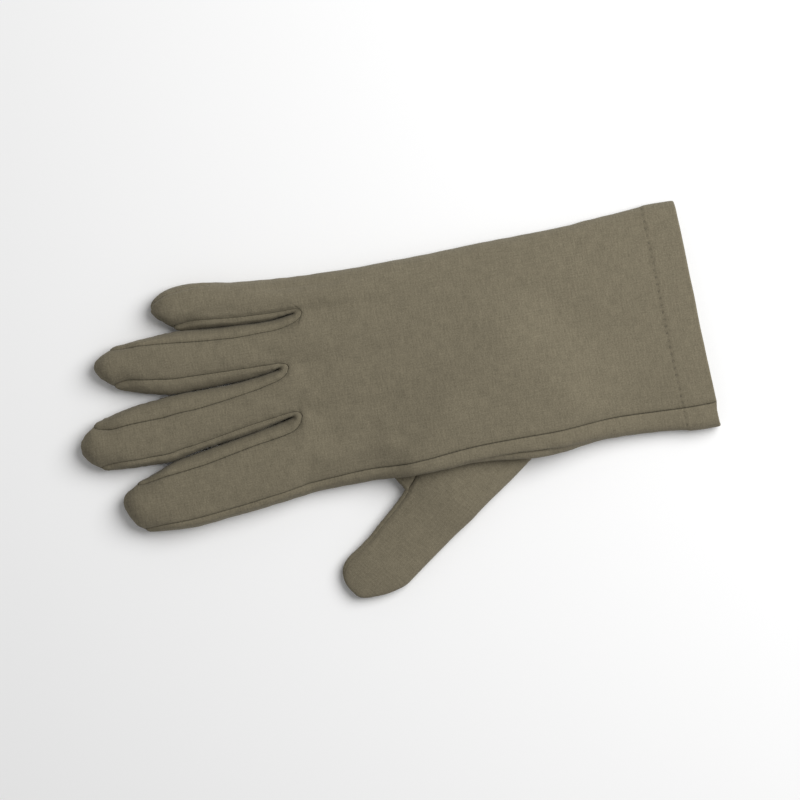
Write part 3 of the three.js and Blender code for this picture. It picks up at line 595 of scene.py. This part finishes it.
def add_hand(skin):
    """The hand from the cuff to the knuckles: back, palm and both sides."""
    at = hand_rows()
    back, back_flat = hand_sheet(BACK, at)
    palm, palm_flat = hand_sheet(PALM, at)
    grown = edge_fold(at)
    to_root = root_share(at)
    edge = palm[:, 0] + stacked(0, grown, 0)
    roundness = mix(STRIP_ROUNDNESS, WALL_ROUNDNESS, to_root)
    low_wall = wall(back[:, 0], edge, roundness, mix(STRIP_BULGE, WALL_BULGE, to_root))
    share = np.linspace(0, 1, WALL_COLUMNS + 1)
    fold_out = smooth((share - EDGE_FOLD_FROM) / EDGE_FOLD_RISE)
    tuck = EDGE_TUCK * np.exp(-(((share - EDGE_FOLD_FROM) / EDGE_TUCK_WIDTH) ** 2))
    low_wall[..., 1] -= grown[:, None] * (fold_out - tuck)
    high_wall = wall(back[:, -1], palm[:, -1], FOLD_ROUNDNESS, FOLD_BULGE)
    low_flat = flat_of_wall(low_wall, palm[:, 0, 1], -1)
    low_flat[..., 0] = back_flat[:, :1, 0]
    high_flat = flat_of_wall(high_wall, back[:, -1, 1], 0)
    high_flat[..., 0] = back_flat[:, -1:, 0]
    half = WALL_COLUMNS // 2
    skin.add(back, back_flat, BACK)
    skin.add(palm, palm_flat, PALM, flip=True)
    skin.add(low_wall, low_flat, PALM, flip=True)
    skin.add(high_wall[:, :half + 1], high_flat[:, :half + 1], BACK)
    skin.add(high_wall[:, half:], high_flat[:, half:], PALM, fold=np.arange(half + 1) == 0)


def finger_rows(length):
    """Distances of a finger's rows from its root, and which is the last with strips at its sides."""
    stop = length - FOURCHETTE_STOP
    turn = np.linspace(0, math.pi / 2, CROTCH_ROWS + 1)[:-1]
    start = CROTCH_ROUND * (1 - np.cos(turn))
    middle = np.linspace(CROTCH_ROUND, stop, round((stop - CROTCH_ROUND) / FINGER_STEP) + 1)
    tip = length - FOURCHETTE_STOP * (1 - np.sin(np.radians(np.linspace(*TIP_TURN, TIP_ROWS))))
    return np.concatenate([start, middle, tip]), len(start) + len(middle) - 1


def finger_sheets(finger):
    """Points of a finger's back and palm from its root row to its tip, and its rows' shares of its length."""
    length = FINGER_LENGTHS[finger]
    root_back, root_palm = root_row(finger)
    distance, open_to = finger_rows(length)
    share = (distance / length)[:, None]
    tip_x = KNUCKLE_X - length
    from_tip = (length - distance)[:, None]
    narrow = round_share(from_tip / TIP_ROUND)
    taper = clamp01((from_tip - FOURCHETTE_STOP) / FOURCHETTE_TAPER) ** FOURCHETTE_TAPER_ROUNDNESS
    taper[open_to:] = 0
    outer_taper = narrow ** TIP_CROWN_ROUNDNESS
    rounded = round_share(distance / CROTCH_ROUND)[:, None]
    outer_low = finger == 0
    outer_high = finger == len(GAPS)
    low_edge, low_strip, _, _ = finger_sides(finger, mix(root_back[0, 0], tip_x, share))
    _, _, high_edge, high_strip = finger_sides(finger, mix(root_back[-1, 0], tip_x, share))
    low_seam = low_edge + low_strip * taper * (1 if outer_low else rounded)
    high_taper = outer_taper if outer_high else taper
    high_seam = high_edge - high_strip * (1 if outer_high else taper * rounded)
    middle = (low_edge + high_edge) / 2
    tip_middle = middle + TIP_SHIFTS[finger] * (high_edge - low_edge) * (1 - narrow)
    crown = mix(TIP_CROWN, FINGER_HEIGHT, outer_taper) - FINGER_FALL * share
    from_root = smooth(distance / FINGER_SEAM_REACH)[:, None]
    low_start = SIDE_SEAM_HEIGHT if outer_low else CROTCH_HEIGHT
    high_start = FOLD_HEIGHT if outer_high else CROTCH_HEIGHT
    side_height = mix(TIP_HEIGHT, TIP_SIDE_SHARE * crown, narrow)
    fall = smooth((from_tip - FOURCHETTE_STOP) / SEAM_FALL)
    low_height = mix(side_height, mix(low_start, FINGER_SEAM_HEIGHT, from_root), fall)
    high_height = mix(side_height, mix(high_start, FINGER_SEAM_HEIGHT, from_root), fall)
    if outer_high:
        high_height = mix(TIP_HEIGHT, mix(high_start, FINGER_SEAM_HEIGHT, from_root), high_taper)
    across = np.linspace(0, 1, FINGER_COLUMNS + 1)
    w = 2 * across - 1

    def in_tip(y):
        return tip_middle + (y - middle) * narrow

    back_z = back_height(mix(low_height, high_height, across), crown, w)
    palm_edge = mix(side_height, PALM_EDGE_HEIGHT, mix(taper, high_taper, across))
    palm_z = mix(TIP_HEIGHT * (1 - narrow), palm_edge, palm_height(w) / PALM_EDGE_HEIGHT)
    back = stacked(mix(root_back[:, 0], tip_x, share), in_tip(mix(low_seam, high_seam, across)), back_z)
    palm = stacked(mix(root_palm[:, 0], tip_x, share), in_tip(mix(low_edge, high_edge, across)), palm_z)
    back[0] = root_back
    palm[0] = root_palm
    palm[open_to:, 0] = back[open_to:, 0]
    if not outer_high:
        palm[open_to:, -1] = back[open_to:, -1]
    return back, palm, share[:, 0]


def add_finger(skin, finger):
    """One finger: back, palm, the walls at both sides and the closed end."""
    back, palm, share = finger_sheets(finger)
    half = WALL_COLUMNS // 2
    low_wall = wall(back[:, 0], palm[:, 0])
    low_cloth = FOURCHETTES[finger - 1] if finger else PALM
    if finger < len(GAPS):
        high_wall = wall(back[:, -1], palm[:, -1])
        upper_cloth = FOURCHETTES[finger]
        under_cloth = FOURCHETTES[finger]
        fold = False
    else:
        seam_down = along(LITTLE_SEAM, "down", share)
        high_wall = wall(back[:, -1], palm[:, -1], FOLD_ROUNDNESS, FOLD_BULGE, seam_down)
        upper_cloth = BACK
        under_cloth = PALM
        fold = (share < FOLD_END)[:, None] & (np.arange(half + 1) == 0)
    high_flat = flat_of_wall(high_wall, back[:, -1, 1], 0)
    skin.add(back, back[..., :2], BACK)
    skin.add(palm, palm[..., :2], PALM, flip=True)
    skin.add(low_wall, flat_of_wall(low_wall, palm[:, 0, 1], -1), low_cloth, flip=True)
    skin.add(high_wall[:, :half + 1], high_flat[:, :half + 1], upper_cloth)
    skin.add(high_wall[:, half:], high_flat[:, half:], under_cloth, fold=fold)
    end = np.stack([back[-1], palm[-1]])
    skin.add(end, end[..., :2], PALM)


def distance_to(points, targets):
    """Distance from each point to the nearest target."""
    tree = KDTree(len(targets))
    for i, target in enumerate(targets):
        tree.insert(target, i)
    tree.balance()
    return np.array([tree.find(point)[2] for point in points])


def waves(points, length, count=24):
    """A soft field of waves about a length long, mostly within -1 to 1, the same each run."""
    field = np.zeros(len(points))
    for _ in range(count):
        turn = rng.uniform(0, 2 * math.pi)
        step = rng.uniform(*WAVE_NUMBERS) * 2 * math.pi / length
        direction = np.array([math.cos(turn), math.sin(turn), rng.uniform(-WAVE_SLOPE, WAVE_SLOPE)])
        field += np.sin(points @ direction * step + rng.uniform(0, 2 * math.pi))
    return field / math.sqrt(count)


def unevenness(points, kinds):
    return sum(high * waves(points, length) for high, length in kinds)


def seam_relief(skin):
    """Height of the cloth near its seams: it sinks towards them behind a soft lip, with puckers."""
    pairs = skin.edges()
    pairs = pairs[skin.seam[pairs].all(axis=1)]
    start, end = skin.xyz[pairs[:, 0]], skin.xyz[pairs[:, 1]]
    seeds = np.concatenate([mix(start, end, share) for share in SEAM_SHARES])
    distance = distance_to(skin.xyz, seeds)
    sink = -SEAM_SINK * np.exp(-(distance ** 2))
    lip = LIP_HEIGHT * np.exp(-(((distance - LIP_FROM_SEAM) / LIP_WIDTH) ** 2))
    pucker = PUCKER_HEIGHT * waves(skin.xyz, PUCKER_LENGTH) * np.exp(-((distance / PUCKER_REACH) ** 2))
    return sink + lip + pucker


# Folds begin at the first height over the floor, and are full the second one higher
FOLDS_ABOVE = 6
FOLDS_FADE = 3

# Soft folds of the back. start, end: in plan. wide: how far they reach to each side. high: their
# height, below 0 for a dent.
BACK_FOLDS = (
    {"start": (-112, -27.5), "end": (-86, -27.5), "wide": 3.5, "high": 0.9},
    {"start": (-86, -27.5), "end": (-60, -18), "wide": 5, "high": 0.7},
    {"start": (-60, -18), "end": (-38, -8), "wide": 7, "high": 0.35},
    {"start": (-112, -22), "end": (-92, -19), "wide": 4.5, "high": -0.7},
    {"start": (-118, -6), "end": (-131, 1), "wide": 3.5, "high": -0.6},
    {"start": (-119, 11), "end": (-131, 18), "wide": 3.5, "high": -0.5},
    {"start": (-110, -10), "end": (-106, -24), "wide": 4.5, "high": -0.5},
    {"start": (-111, 8), "end": (-100, -2), "wide": 6, "high": -0.35},
    {"start": (-107, 28), "end": (-96, 20), "wide": 5, "high": -0.35},
)


def fold_relief(points):
    """Height of the soft folds at points of the back."""
    total = np.zeros(len(points))
    for fold in BACK_FOLDS:
        start = np.array(fold["start"], float)
        span = np.array(fold["end"], float) - start
        t = clamp01((points[:, :2] - start) @ span / (span @ span))
        away = np.linalg.norm(points[:, :2] - start - t[:, None] * span, axis=1)
        total += fold["high"] * np.exp(-((away / fold["wide"]) ** 2))
    return total * smooth((points[:, 2] - FOLDS_ABOVE) / FOLDS_FADE)


def distance_from_cuff(points):
    return cuff_line(points[:, 1]) - points[:, 0]


def hem_relief(from_cuff):
    """Height of the doubled cloth of the hem, and of its sewn line."""
    swell = HEM_SWELL * smooth((HEM_WIDTH - from_cuff) / HEM_SWELL_FADE + 0.5)
    line = -HEM_LINE_DEPTH * np.exp(-(((from_cuff - HEM_WIDTH) / HEM_LINE_WIDTH) ** 2))
    return swell + line


def make_glove_skin():
    """The outside of hand and fingers, with its seams, folds and hem."""
    skin = Skin()
    add_hand(skin)
    for finger in range(len(FINGER_LENGTHS)):
        add_finger(skin, finger)
    skin.weld()
    skin.seam = skin.seam_points()
    skin.cuff = distance_from_cuff(skin.xyz) < CUFF_EDGE
    skin.smooth(SMOOTHINGS)
    skin.from_cuff = distance_from_cuff(skin.xyz)
    points = skin.xyz
    height = FULLNESS + seam_relief(skin) + fold_relief(points) + hem_relief(skin.from_cuff)
    height += unevenness(points, GLOVE_WAVES)
    skin.raise_by(height)
    return skin


def thumb_stations():
    """Places along the thumb that its rows lie at, closer together where it turns."""
    tip = THUMB_TIP_ROUND * (1 - np.sqrt(1 - np.linspace(*THUMB_TIP_SPAN, THUMB_TIP_ROWS) ** 2))
    plain = np.arange(tip[-1] + THUMB_STEP, WEB_FROM - WEB_BEFORE, THUMB_STEP)
    web = np.arange(plain[-1] + WEB_FIRST_STEP, WEB_FROM + WEB_RISE + WEB_AFTER, WEB_STEP)
    upper = np.arange(web[-1] + THUMB_STEP, THUMB_LENGTH - THUMB_TIP_ROUND, THUMB_UPPER_STEP)
    turn = np.sin(np.radians(np.linspace(*THUMB_BASE_TURN, THUMB_BASE_ROWS)))
    base = THUMB_LENGTH - THUMB_TIP_ROUND * (1 - turn)
    return np.concatenate([[0], tip, plain, web, upper, base])[:, None]


def make_thumb_skin():
    """The thumb's outside, with its seam on the left side and the web that it widens to at the palm."""
    p = thumb_stations()
    narrow = round_share(np.minimum(p, THUMB_LENGTH - p) / THUMB_TIP_ROUND)
    a = (2 * math.pi * np.arange(THUMB_COLUMNS + 1) / THUMB_COLUMNS)[None, :]
    across = np.cos(a)
    up = np.sin(a)
    share = p / THUMB_LENGTH
    left = THUMB_WIDTH * along(THUMB_SIDES, "left", share)
    right = THUMB_WIDTH * along(THUMB_SIDES, "right", share)
    at_seam = math.cos(2 * math.pi * SEAM_COLUMN / THUMB_COLUMNS)
    beyond_seam = clamp01((across - at_seam) / (1 - at_seam))
    web = WEB_REACH * smooth((p - WEB_FROM) / WEB_RISE) * smooth((WEB_END - p) / WEB_FADE)
    width = np.where(across > 0, left, right)
    q = squared(across) * width * mix(THUMB_END_WIDE, 1, narrow) + web * beyond_seam
    height = thumb_height(p)
    z = height / 2 + squared(up) * height / 2 * mix(THUMB_END_HIGH, 1, narrow)
    thick = mix(THUMB_BASE_THIN, 1, round_share((THUMB_LENGTH - p) / THUMB_BASE_SLOPE))
    z = height - (height - z) * thick
    plan = THUMB_TIP + p[..., None] * THUMB_AXIS + q[..., None] * THUMB_SIDE
    tube = stacked(plan[..., 0], plan[..., 1], z)
    tube[:, -1] = tube[:, 0]
    marked = tube[:, SEAM_COLUMN]
    ends = [np.broadcast_to(row.mean(axis=0), (1, *row.shape)) for row in (tube[0], tube[-1])]
    tube = np.concatenate([ends[0], tube, ends[1]])
    girth = lengths_round(tube)
    girth -= girth[:, THUMB_COLUMNS // 4][:, None]
    lengthwise = np.concatenate([[[0]], p, [[THUMB_LENGTH]]]) + THUMB_CLOTH_X
    flat = np.stack(np.broadcast_arrays(lengthwise, girth), axis=-1)
    half = SEAM_COLUMN + THUMB_COLUMNS // 2
    skin = Skin()
    skin.add(tube[:, :SEAM_COLUMN + 1], flat[:, :SEAM_COLUMN + 1], THUMB_UNDER)
    skin.add(tube[:, SEAM_COLUMN:half + 1], flat[:, SEAM_COLUMN:half + 1], THUMB_TOP)
    skin.add(tube[:, half:], flat[:, half:], THUMB_UNDER)
    skin.weld()
    places = {tuple(place) for place in np.round(marked * WELD)}
    skin.seam = np.array([tuple(place) in places for place in np.round(skin.xyz * WELD)])
    skin.cuff = np.zeros(len(skin.xyz), bool)
    skin.smooth(THUMB_SMOOTHINGS)
    points = skin.xyz
    at_tip = smooth(in_thumb_frame(points)[0] / THUMB_TIP_ROUND)
    height = FULLNESS + seam_relief(skin) * at_tip + unevenness(points, THUMB_WAVES)
    skin.raise_by(height)
    return skin


def outside_hole(skin, low, high):
    """Which faces lie outside the round opening between thumb and palm. Its rim is made even."""
    p, q = in_thumb_frame(skin.xyz)
    radius = np.hypot((p - THUMB_LENGTH + HOLE_FROM_BASE) / (HOLE_LONG / 2), q / (HOLE_WIDE / 2))
    inside = (radius < 1) & (skin.xyz[:, 2] > low) & (skin.xyz[:, 2] < high)
    gone = inside[skin.faces].all(axis=1)
    rim = np.intersect1d(skin.faces[gone], skin.faces[~gone])
    middle = THUMB_TIP + (THUMB_LENGTH - HOLE_FROM_BASE) * THUMB_AXIS
    skin.xyz[rim, :2] = middle + (skin.xyz[rim, :2] - middle) / radius[rim][:, None]
    return ~gone


def placed(name, data):
    """A new object in the scene."""
    made = bpy.data.objects.new(name, data)
    bpy.context.scene.collection.objects.link(made)
    return made


def new_piece(name, points, faces, flats, material):
    """A piece of cloth as a smooth mesh in metres, riding on the glove's body."""
    _, first, place = np.unique(np.round(points * PIECE_WELD), axis=0, return_index=True, return_inverse=True)
    faces = place.reshape(-1)[faces]
    polygons = []
    corners = []
    for face, flat in zip(faces.tolist(), flats.tolist()):
        kept = [i for i in range(4) if face[i] != face[i - 1]]
        polygon = [face[i] for i in kept]
        if len(set(polygon)) == len(polygon) > 2:
            polygons.append(polygon)
            corners.extend((*flat[i], 0) for i in kept)
    mesh = bpy.data.meshes.new(name)
    mesh.from_pydata((points[first] * MM).tolist(), [], polygons)
    mesh.shade_smooth()
    layer = mesh.attributes.new("cloth", "FLOAT_VECTOR", "CORNER")
    layer.data.foreach_set("vector", np.array(corners).ravel())
    mesh.materials.append(material)
    piece = placed(name, mesh)
    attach(piece, "root")
    return piece


def rim_of(faces):
    """Where the sides of the faces start and end, and which of them no other face has."""
    start = faces.ravel()
    end = np.roll(faces, -1, axis=1).ravel()
    size = faces.max() + 1
    real = start != end
    return start, end, real & ~np.isin(end * size + start, (start * size + end)[real])


def into_cloth(points, faces):
    """At each point: the direction into the faces round it, how one-sided they lie, and the least room."""
    away = points[faces].mean(axis=1)[:, None] - points[faces]
    length = np.maximum(np.linalg.norm(away, axis=2, keepdims=True), TINY)
    towards = np.zeros_like(points)
    around = np.zeros(len(points))
    room = np.full(len(points), np.inf)
    for i in range(4):
        np.add.at(towards, faces[:, i], (away / length)[:, i])
        np.add.at(around, faces[:, i], 1)
        np.minimum.at(room, faces[:, i], length[:, i, 0])
    strength = np.linalg.norm(towards, axis=1)
    return towards / np.maximum(strength, TINY)[:, None], strength / around, room


def shell(name, skin, cloths, material, keep=True, depth=0, inward=1):
    """A layer of cloth over some of the skin's faces, with edges rolled down into its seams.

    depth: how far its seen face lies under the skin. inward: 1 where that face looks out of the
    glove, -1 where it looks into it."""
    chosen = np.isin(skin.cloth, cloths) & keep
    corners = skin.faces[chosen]
    flats = skin.flat[chosen]
    count = len(skin.xyz)
    split = corners + count * (1 + skin.cloth[chosen, None]) * skin.seam[corners]
    used, faces = np.unique(split, return_inverse=True)
    faces = faces.reshape(-1, 4)
    source = used % count
    normals = skin.normals()[source] * inward
    points = skin.xyz[source] - skin.normals()[source] * depth
    size = len(points)

    start, end, rim = rim_of(faces)
    on_rim = np.zeros(size, bool)
    on_rim[start[rim]] = True
    towards, one_sided, room = into_cloth(points, faces)
    open_edge = np.maximum(LEAST_ROLL, smooth((one_sided - ROLL_FROM) / ROLL_FADE)) * on_rim
    at_cuff = skin.cuff[source]
    roll = np.where(at_cuff, CLOTH, np.minimum(SEAM_ROLL, ROLL_SHARE_OF_ROOM * room)) * open_edge
    drop = np.where(at_cuff, CUFF_ROLL_DEPTH * CLOTH, roll * ROLL_DEPTH)
    slit = np.where(at_cuff & ~skin.seam[source], 0, SEAM_SLIT) * open_edge

    rings = []
    for angle in np.linspace(0, math.pi / 2, ROLL_STEPS + 1):
        inset = slit + roll * (1 - math.sin(angle))
        sunk = drop * (1 - math.cos(angle))
        rings.append(points + towards * inset[:, None] - normals * sunk[:, None])
    bottom = np.maximum(CLOTH, np.where(at_cuff, CLOTH, drop + WALL_UNDER_ROLL * on_rim))
    rings.append(points + towards * slit[:, None] - normals * bottom[:, None])
    if inward > 0:
        for ring in rings:
            ring[:, 2] = np.maximum(ring[:, 2], 0)
        rings[-1][:, 2] = np.maximum(rings[-1][:, 2], LEAST_OVER_FLOOR)

    all_faces = [faces, faces[:, ::-1] + size * (len(rings) - 1)]
    all_flats = [flats, flats[:, ::-1]]
    a = start[rim]
    b = end[rim]
    flat_a = flats.reshape(-1, 2)[rim]
    flat_b = np.roll(flats, -1, axis=1).reshape(-1, 2)[rim]
    for i in range(len(rings) - 1):
        upper = size * i
        lower = upper + size
        all_faces.append(np.stack([b + upper, a + upper, a + lower, b + lower], axis=1))
        all_flats.append(np.stack([flat_b, flat_a, flat_a, flat_b], axis=1))
    all_faces = np.concatenate(all_faces)
    if inward < 0:
        all_faces = all_faces[:, ::-1]
    return new_piece(name, np.concatenate(rings), all_faces, np.concatenate(all_flats), material)


def make_stitches(name, skin, material):
    """The hem's stitches: a short thread in each small pit along its sewn line."""
    lat = np.linspace(0, math.pi, STITCH_RINGS + 1)[:, None]
    turn = np.linspace(0, 2 * math.pi, STITCH_SIDES + 1)[None, :]
    bead = stacked(np.cos(lat), np.sin(lat) * np.cos(turn), np.sin(lat) * np.sin(turn))
    normals = skin.normals()
    stitches = Skin()
    for cloth in (BACK, PALM):
        on = skin.cloth == cloth
        flats = skin.flat[on].reshape(-1, 2)
        ids = skin.faces[on].reshape(-1)
        for k in range(-STITCHES_EACH_WAY, STITCHES_EACH_WAY + 1):
            from_stitch = flats - (CUFF_X - HEM_WIDTH, k * STITCH_PITCH)
            near = np.linalg.norm(from_stitch, axis=1) < STITCH_SEARCH
            here = skin.xyz[ids[near]]
            # None where the cloth ends or where it lies in two places
            if near.sum() < STITCH_POINTS or np.ptp(here, axis=0).max() > STITCH_SPREAD:
                continue
            if np.abs(from_stitch[near].mean(axis=0)).max() > STITCH_OFFSET:
                continue
            terms = np.column_stack([np.ones(len(here)), from_stitch[near]])
            middle, _, across_hand = np.linalg.lstsq(terms, here, rcond=None)[0]
            up = unit(normals[ids[near]].mean(axis=0))
            long = unit(across_hand)
            side = np.cross(up, long)
            size = np.array([STITCH_LENGTH, STITCH_WIDTH, STITCH_HEIGHT]) / 2 * rng.uniform(*STITCH_SIZES)
            stitches.add(middle + (bead * size) @ np.stack([long, side, up]), (0, 0), BACK, flip=True)
    faces = np.concatenate(stitches.quads)
    points = np.concatenate(stitches.points)
    points[:, 2] = np.maximum(points[:, 2], 0)
    return new_piece(name, points, faces, np.concatenate(stitches.flats)[faces], material)


def node(tree, kind, inputs, **settings):
    """A shader node. inputs: the value of each socket, or the socket that feeds it."""
    made = tree.nodes.new(kind)
    for name, value in settings.items():
        setattr(made, name, value)
    for socket, value in inputs.items():
        if isinstance(value, bpy.types.NodeSocket):
            tree.links.new(value, made.inputs[socket])
        else:
            made.inputs[socket].default_value = value
    return made


def maths(tree, operation, *values):
    return node(tree, "ShaderNodeMath", dict(enumerate(values)), operation=operation).outputs[0]


def weighted(tree, parts):
    """The sum of some values, each times its weight."""
    total = maths(tree, "MULTIPLY", *parts[0])
    for value, weight in parts[1:]:
        total = maths(tree, "MULTIPLY_ADD", value, weight, total)
    return total


def stretched_noise(tree, place, scale, detail):
    """Noise at a place on the cloth. scale: grains a millimetre along the hand and across it."""
    mapping = node(tree, "ShaderNodeMapping", {"Vector": place, "Scale": (*scale, 1)})
    noise = node(tree, "ShaderNodeTexNoise", {"Vector": mapping.outputs[0], "Scale": 1, "Detail": detail})
    return noise.outputs["Fac"]


# The knit, the pits along the hem and the mixed yarn, in millimetres and grains a millimetre
WALE = 0.74
COURSE = 0.52
LOOP_SLANT = 1.1
LOOP_HEIGHT = 0.3
RIB_HEIGHT = 0.5
PIT_OUTER = 0.75
PIT_INNER = 0.15
PIT_VARIETY = (0.01, 0.21)
# Painted shade: how much darker the colour is made in the hem's stitch pits
PIT_PAINTED_SHADE = -0.1
PIT_HEIGHT = -4
YARN_HEIGHT = 2.5
BUMP_HEIGHT = 0.05
YARN = (
    {"scale": (1.5, 0.24), "detail": 4, "weight": 0.26},
    {"scale": (0.18, 1.4), "detail": 4, "weight": 0.16},
    {"scale": (1.9, 1.9), "detail": 3, "weight": 0.42},
    {"scale": (0.25, 0.25), "detail": 3, "weight": 0.09},
    {"scale": (0.04, 0.04), "detail": 2, "weight": 0.07},
)
WOOL_COLOUR = (0.17, 0.148, 0.102)
THREAD_COLOUR = (0.135, 0.117, 0.081)


def make_material(name, values):
    """A material, its nodes and its shader, with some of the shader's values set."""
    material = bpy.data.materials.new(name)
    material.use_nodes = True
    shader = material.node_tree.nodes["Principled BSDF"]
    for socket, value in values.items():
        shader.inputs[socket].default_value = value
    return material, material.node_tree, shader


def shades(tree, value, colour, span, shares):
    """A colour that a value makes darker and lighter. span: the value's ends. shares: the shade at each."""
    ramp = node(tree, "ShaderNodeValToRGB", {0: value})
    for element, place, share in zip(ramp.color_ramp.elements, span, shares):
        element.position = place
        element.color = (*[c * share for c in colour], 1)
    return ramp.outputs[0]


def knit_height(tree, x, y):
    """Height of a plain knit: columns of slanting loops."""
    wale = maths(tree, "PINGPONG", maths(tree, "MULTIPLY", y, 1 / WALE), 0.5)
    slant = maths(tree, "MULTIPLY", wale, LOOP_SLANT)
    slanted = maths(tree, "ADD", maths(tree, "MULTIPLY", x, 1 / COURSE), slant)
    loop = maths(tree, "SINE", maths(tree, "MULTIPLY", slanted, 2 * math.pi))
    rib = maths(tree, "SINE", maths(tree, "MULTIPLY", wale, 2 * math.pi))
    return weighted(tree, [(loop, LOOP_HEIGHT), (rib, RIB_HEIGHT)])


def stitch_pits(tree, x, y):
    """1 in the middle of each small pit that a stitch of the hem pulls into the cloth, else 0."""
    across = maths(tree, "SUBTRACT", CUFF_X - HEM_WIDTH, x)
    beside = maths(tree, "PINGPONG", y, STITCH_PITCH / 2)
    squares = maths(tree, "MULTIPLY_ADD", across, across, maths(tree, "MULTIPLY", beside, beside))
    inputs = {"Value": maths(tree, "SQRT", squares), "From Min": PIT_OUTER, "From Max": PIT_INNER}
    return node(tree, "ShaderNodeMapRange", inputs, interpolation_type="SMOOTHSTEP").outputs["Result"]


def make_wool(name, colour):
    """Fine wool jersey: mixed yarn, faint streaks both ways, a knit, a soft sheen, and painted shade in the
    hem's stitch pits.
    """
    material, tree, shader = make_material(name, {
        "Roughness": 0.95,
        "Specular IOR Level": 0.15,
        "Sheen Weight": 0.12,
        "Sheen Roughness": 0.5,
        "Sheen Tint": (0.9, 0.86, 0.74, 1),
    })
    cloth = node(tree, "ShaderNodeAttribute", {}, attribute_name="cloth").outputs["Vector"]
    x, y, _ = node(tree, "ShaderNodeSeparateXYZ", {0: cloth}).outputs
    yarn = weighted(tree, [
        (stretched_noise(tree, cloth, grain["scale"], grain["detail"]), grain["weight"]) for grain in YARN
    ])
    pits = maths(tree, "MULTIPLY", stitch_pits(tree, x, y), stretched_noise(tree, cloth, PIT_VARIETY, 1))
    # The colour is the yarn's mixed tone, with painted shade darkening the hem's stitch pits
    shade = weighted(tree, [(yarn, 1), (pits, PIT_PAINTED_SHADE)])
    tree.links.new(shades(tree, shade, colour, (0.3, 0.7), (0.62, 1.38)), shader.inputs["Base Color"])
    height = weighted(tree, [(knit_height(tree, x, y), 1), (yarn, YARN_HEIGHT), (pits, PIT_HEIGHT)])
    bump = node(tree, "ShaderNodeBump", {"Height": height, "Distance": BUMP_HEIGHT * MM, "Strength": 1})
    tree.links.new(bump.outputs[0], shader.inputs["Normal"])
    return material


def make_thread(name, colour):
    """Sewing thread: a little lighter and darker from stitch to stitch, with a fine grain."""
    material, tree, shader = make_material(name, {"Roughness": 0.8})
    place = node(tree, "ShaderNodeNewGeometry", {}).outputs["Position"]
    slow = stretched_noise(tree, place, (300, 300), 2)
    fine = stretched_noise(tree, place, (4000, 4000), 2)
    shade = weighted(tree, [(slow, 0.7), (fine, 0.3)])
    tree.links.new(shades(tree, shade, colour, (0.35, 0.65), (0.75, 1.3)), shader.inputs["Base Color"])
    return material


def add_stage():
    """A pale floor under the glove."""
    mesh = bpy.data.meshes.new("floor")
    corners = np.array([(-1, -1, 0), (1, -1, 0), (1, 1, 0), (-1, 1, 0)]) * FLOOR_REACH
    mesh.from_pydata((corners - (0, 0, FLOOR_DROP * MM)).tolist(), [], [(0, 1, 2, 3)])
    mesh.materials.append(make_material("floor_paint", {"Base Color": FLOOR_COLOUR, "Roughness": 0.9})[0])
    floor = placed("floor", mesh)


# The floor, with its reach in metres and how far under the glove it lies, and the room's light
FLOOR_REACH = 6
FLOOR_DROP = 0.15
FLOOR_COLOUR = (0.9, 0.9, 0.9, 1)
ROOM_LIGHT = 0.35

# The photograph is taken straight from above, with the hand turned in the picture
VIEW_ROLL = math.radians(10.5)
VIEW_CENTRE = (-79.0, -11.8)
VIEW_WIDTH = 304
VIEW_HEIGHT = 1500
SHARP_HEIGHT = 8
SENSOR = 36
CLIP_END = 20


def add_camera():
    data = bpy.data.cameras.new("camera")
    data.sensor_width = SENSOR
    data.lens = SENSOR * (VIEW_HEIGHT - SHARP_HEIGHT) / VIEW_WIDTH
    data.clip_end = CLIP_END
    camera = placed("camera", data)
    camera.location = (VIEW_CENTRE[0] * MM, VIEW_CENTRE[1] * MM, VIEW_HEIGHT * MM)
    camera.rotation_euler = (0, 0, -VIEW_ROLL)
    bpy.context.scene.camera = camera


def add_light(name, right, up, height, size, power):
    """A soft lamp that looks at the glove from a place right of and above it in the picture, in metres."""
    plan = np.array([
        right * math.cos(VIEW_ROLL) + up * math.sin(VIEW_ROLL),
        up * math.cos(VIEW_ROLL) - right * math.sin(VIEW_ROLL),
    ])
    data = bpy.data.lights.new(name, "AREA")
    data.shape = "DISK"
    data.size = size
    data.energy = power
    light = placed(name, data)
    light.location = (VIEW_CENTRE[0] * MM + plan[0], VIEW_CENTRE[1] * MM + plan[1], height)
    light.rotation_euler = (math.atan2(math.hypot(*plan), height), 0, math.atan2(plan[0], -plan[1]))


def add_lights():
    scene = bpy.context.scene
    scene.view_settings.view_transform = "Standard"
    add_light("key", right=0.52, up=0.33, height=0.76, size=0.85, power=10.1)
    world = bpy.data.worlds.new("studio")
    world.use_nodes = True
    background = world.node_tree.nodes["Background"]
    background.inputs["Color"].default_value = (1, 1, 1, 1)
    background.inputs["Strength"].default_value = ROOM_LIGHT
    scene.world = world


add_camera()
add_lights()
add_stage()
jersey = make_wool("wool_jersey", WOOL_COLOUR)

glove = make_glove_skin()
uncut = outside_hole(glove, 0, HOLE_PALM_TOP)
trank = shell("trank", glove, (BACK, PALM), jersey, keep=uncut)
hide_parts("trank_back", "trank_palm")
for gap, cloth in zip(GAPS, FOURCHETTES):
    name = f"fourchette_{gap['name']}"
    fourchette = shell(f"{name}_cloth", glove, (cloth,), jersey)
    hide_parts(name)

stitches = make_stitches("hem_stitches", glove, make_thread("hem_thread", THREAD_COLOUR))
glove.seam[:] = False
hem_faces = (glove.from_cuff[glove.faces] < HEM_WIDTH + HEM_INNER_REACH).all(axis=1)
hem = shell("hem", glove, (BACK, PALM), jersey, keep=hem_faces, depth=2 * CLOTH + HEM_GAP, inward=-1)
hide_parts("cuff_hem")

thumb_skin = make_thumb_skin()
thumb_uncut = outside_hole(thumb_skin, THUMB_HEIGHT / 2, HOLE_THUMB_TOP)
thumb = shell("thumb_cloth", thumb_skin, (THUMB_TOP, THUMB_UNDER), jersey, keep=thumb_uncut)
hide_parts("thumb")
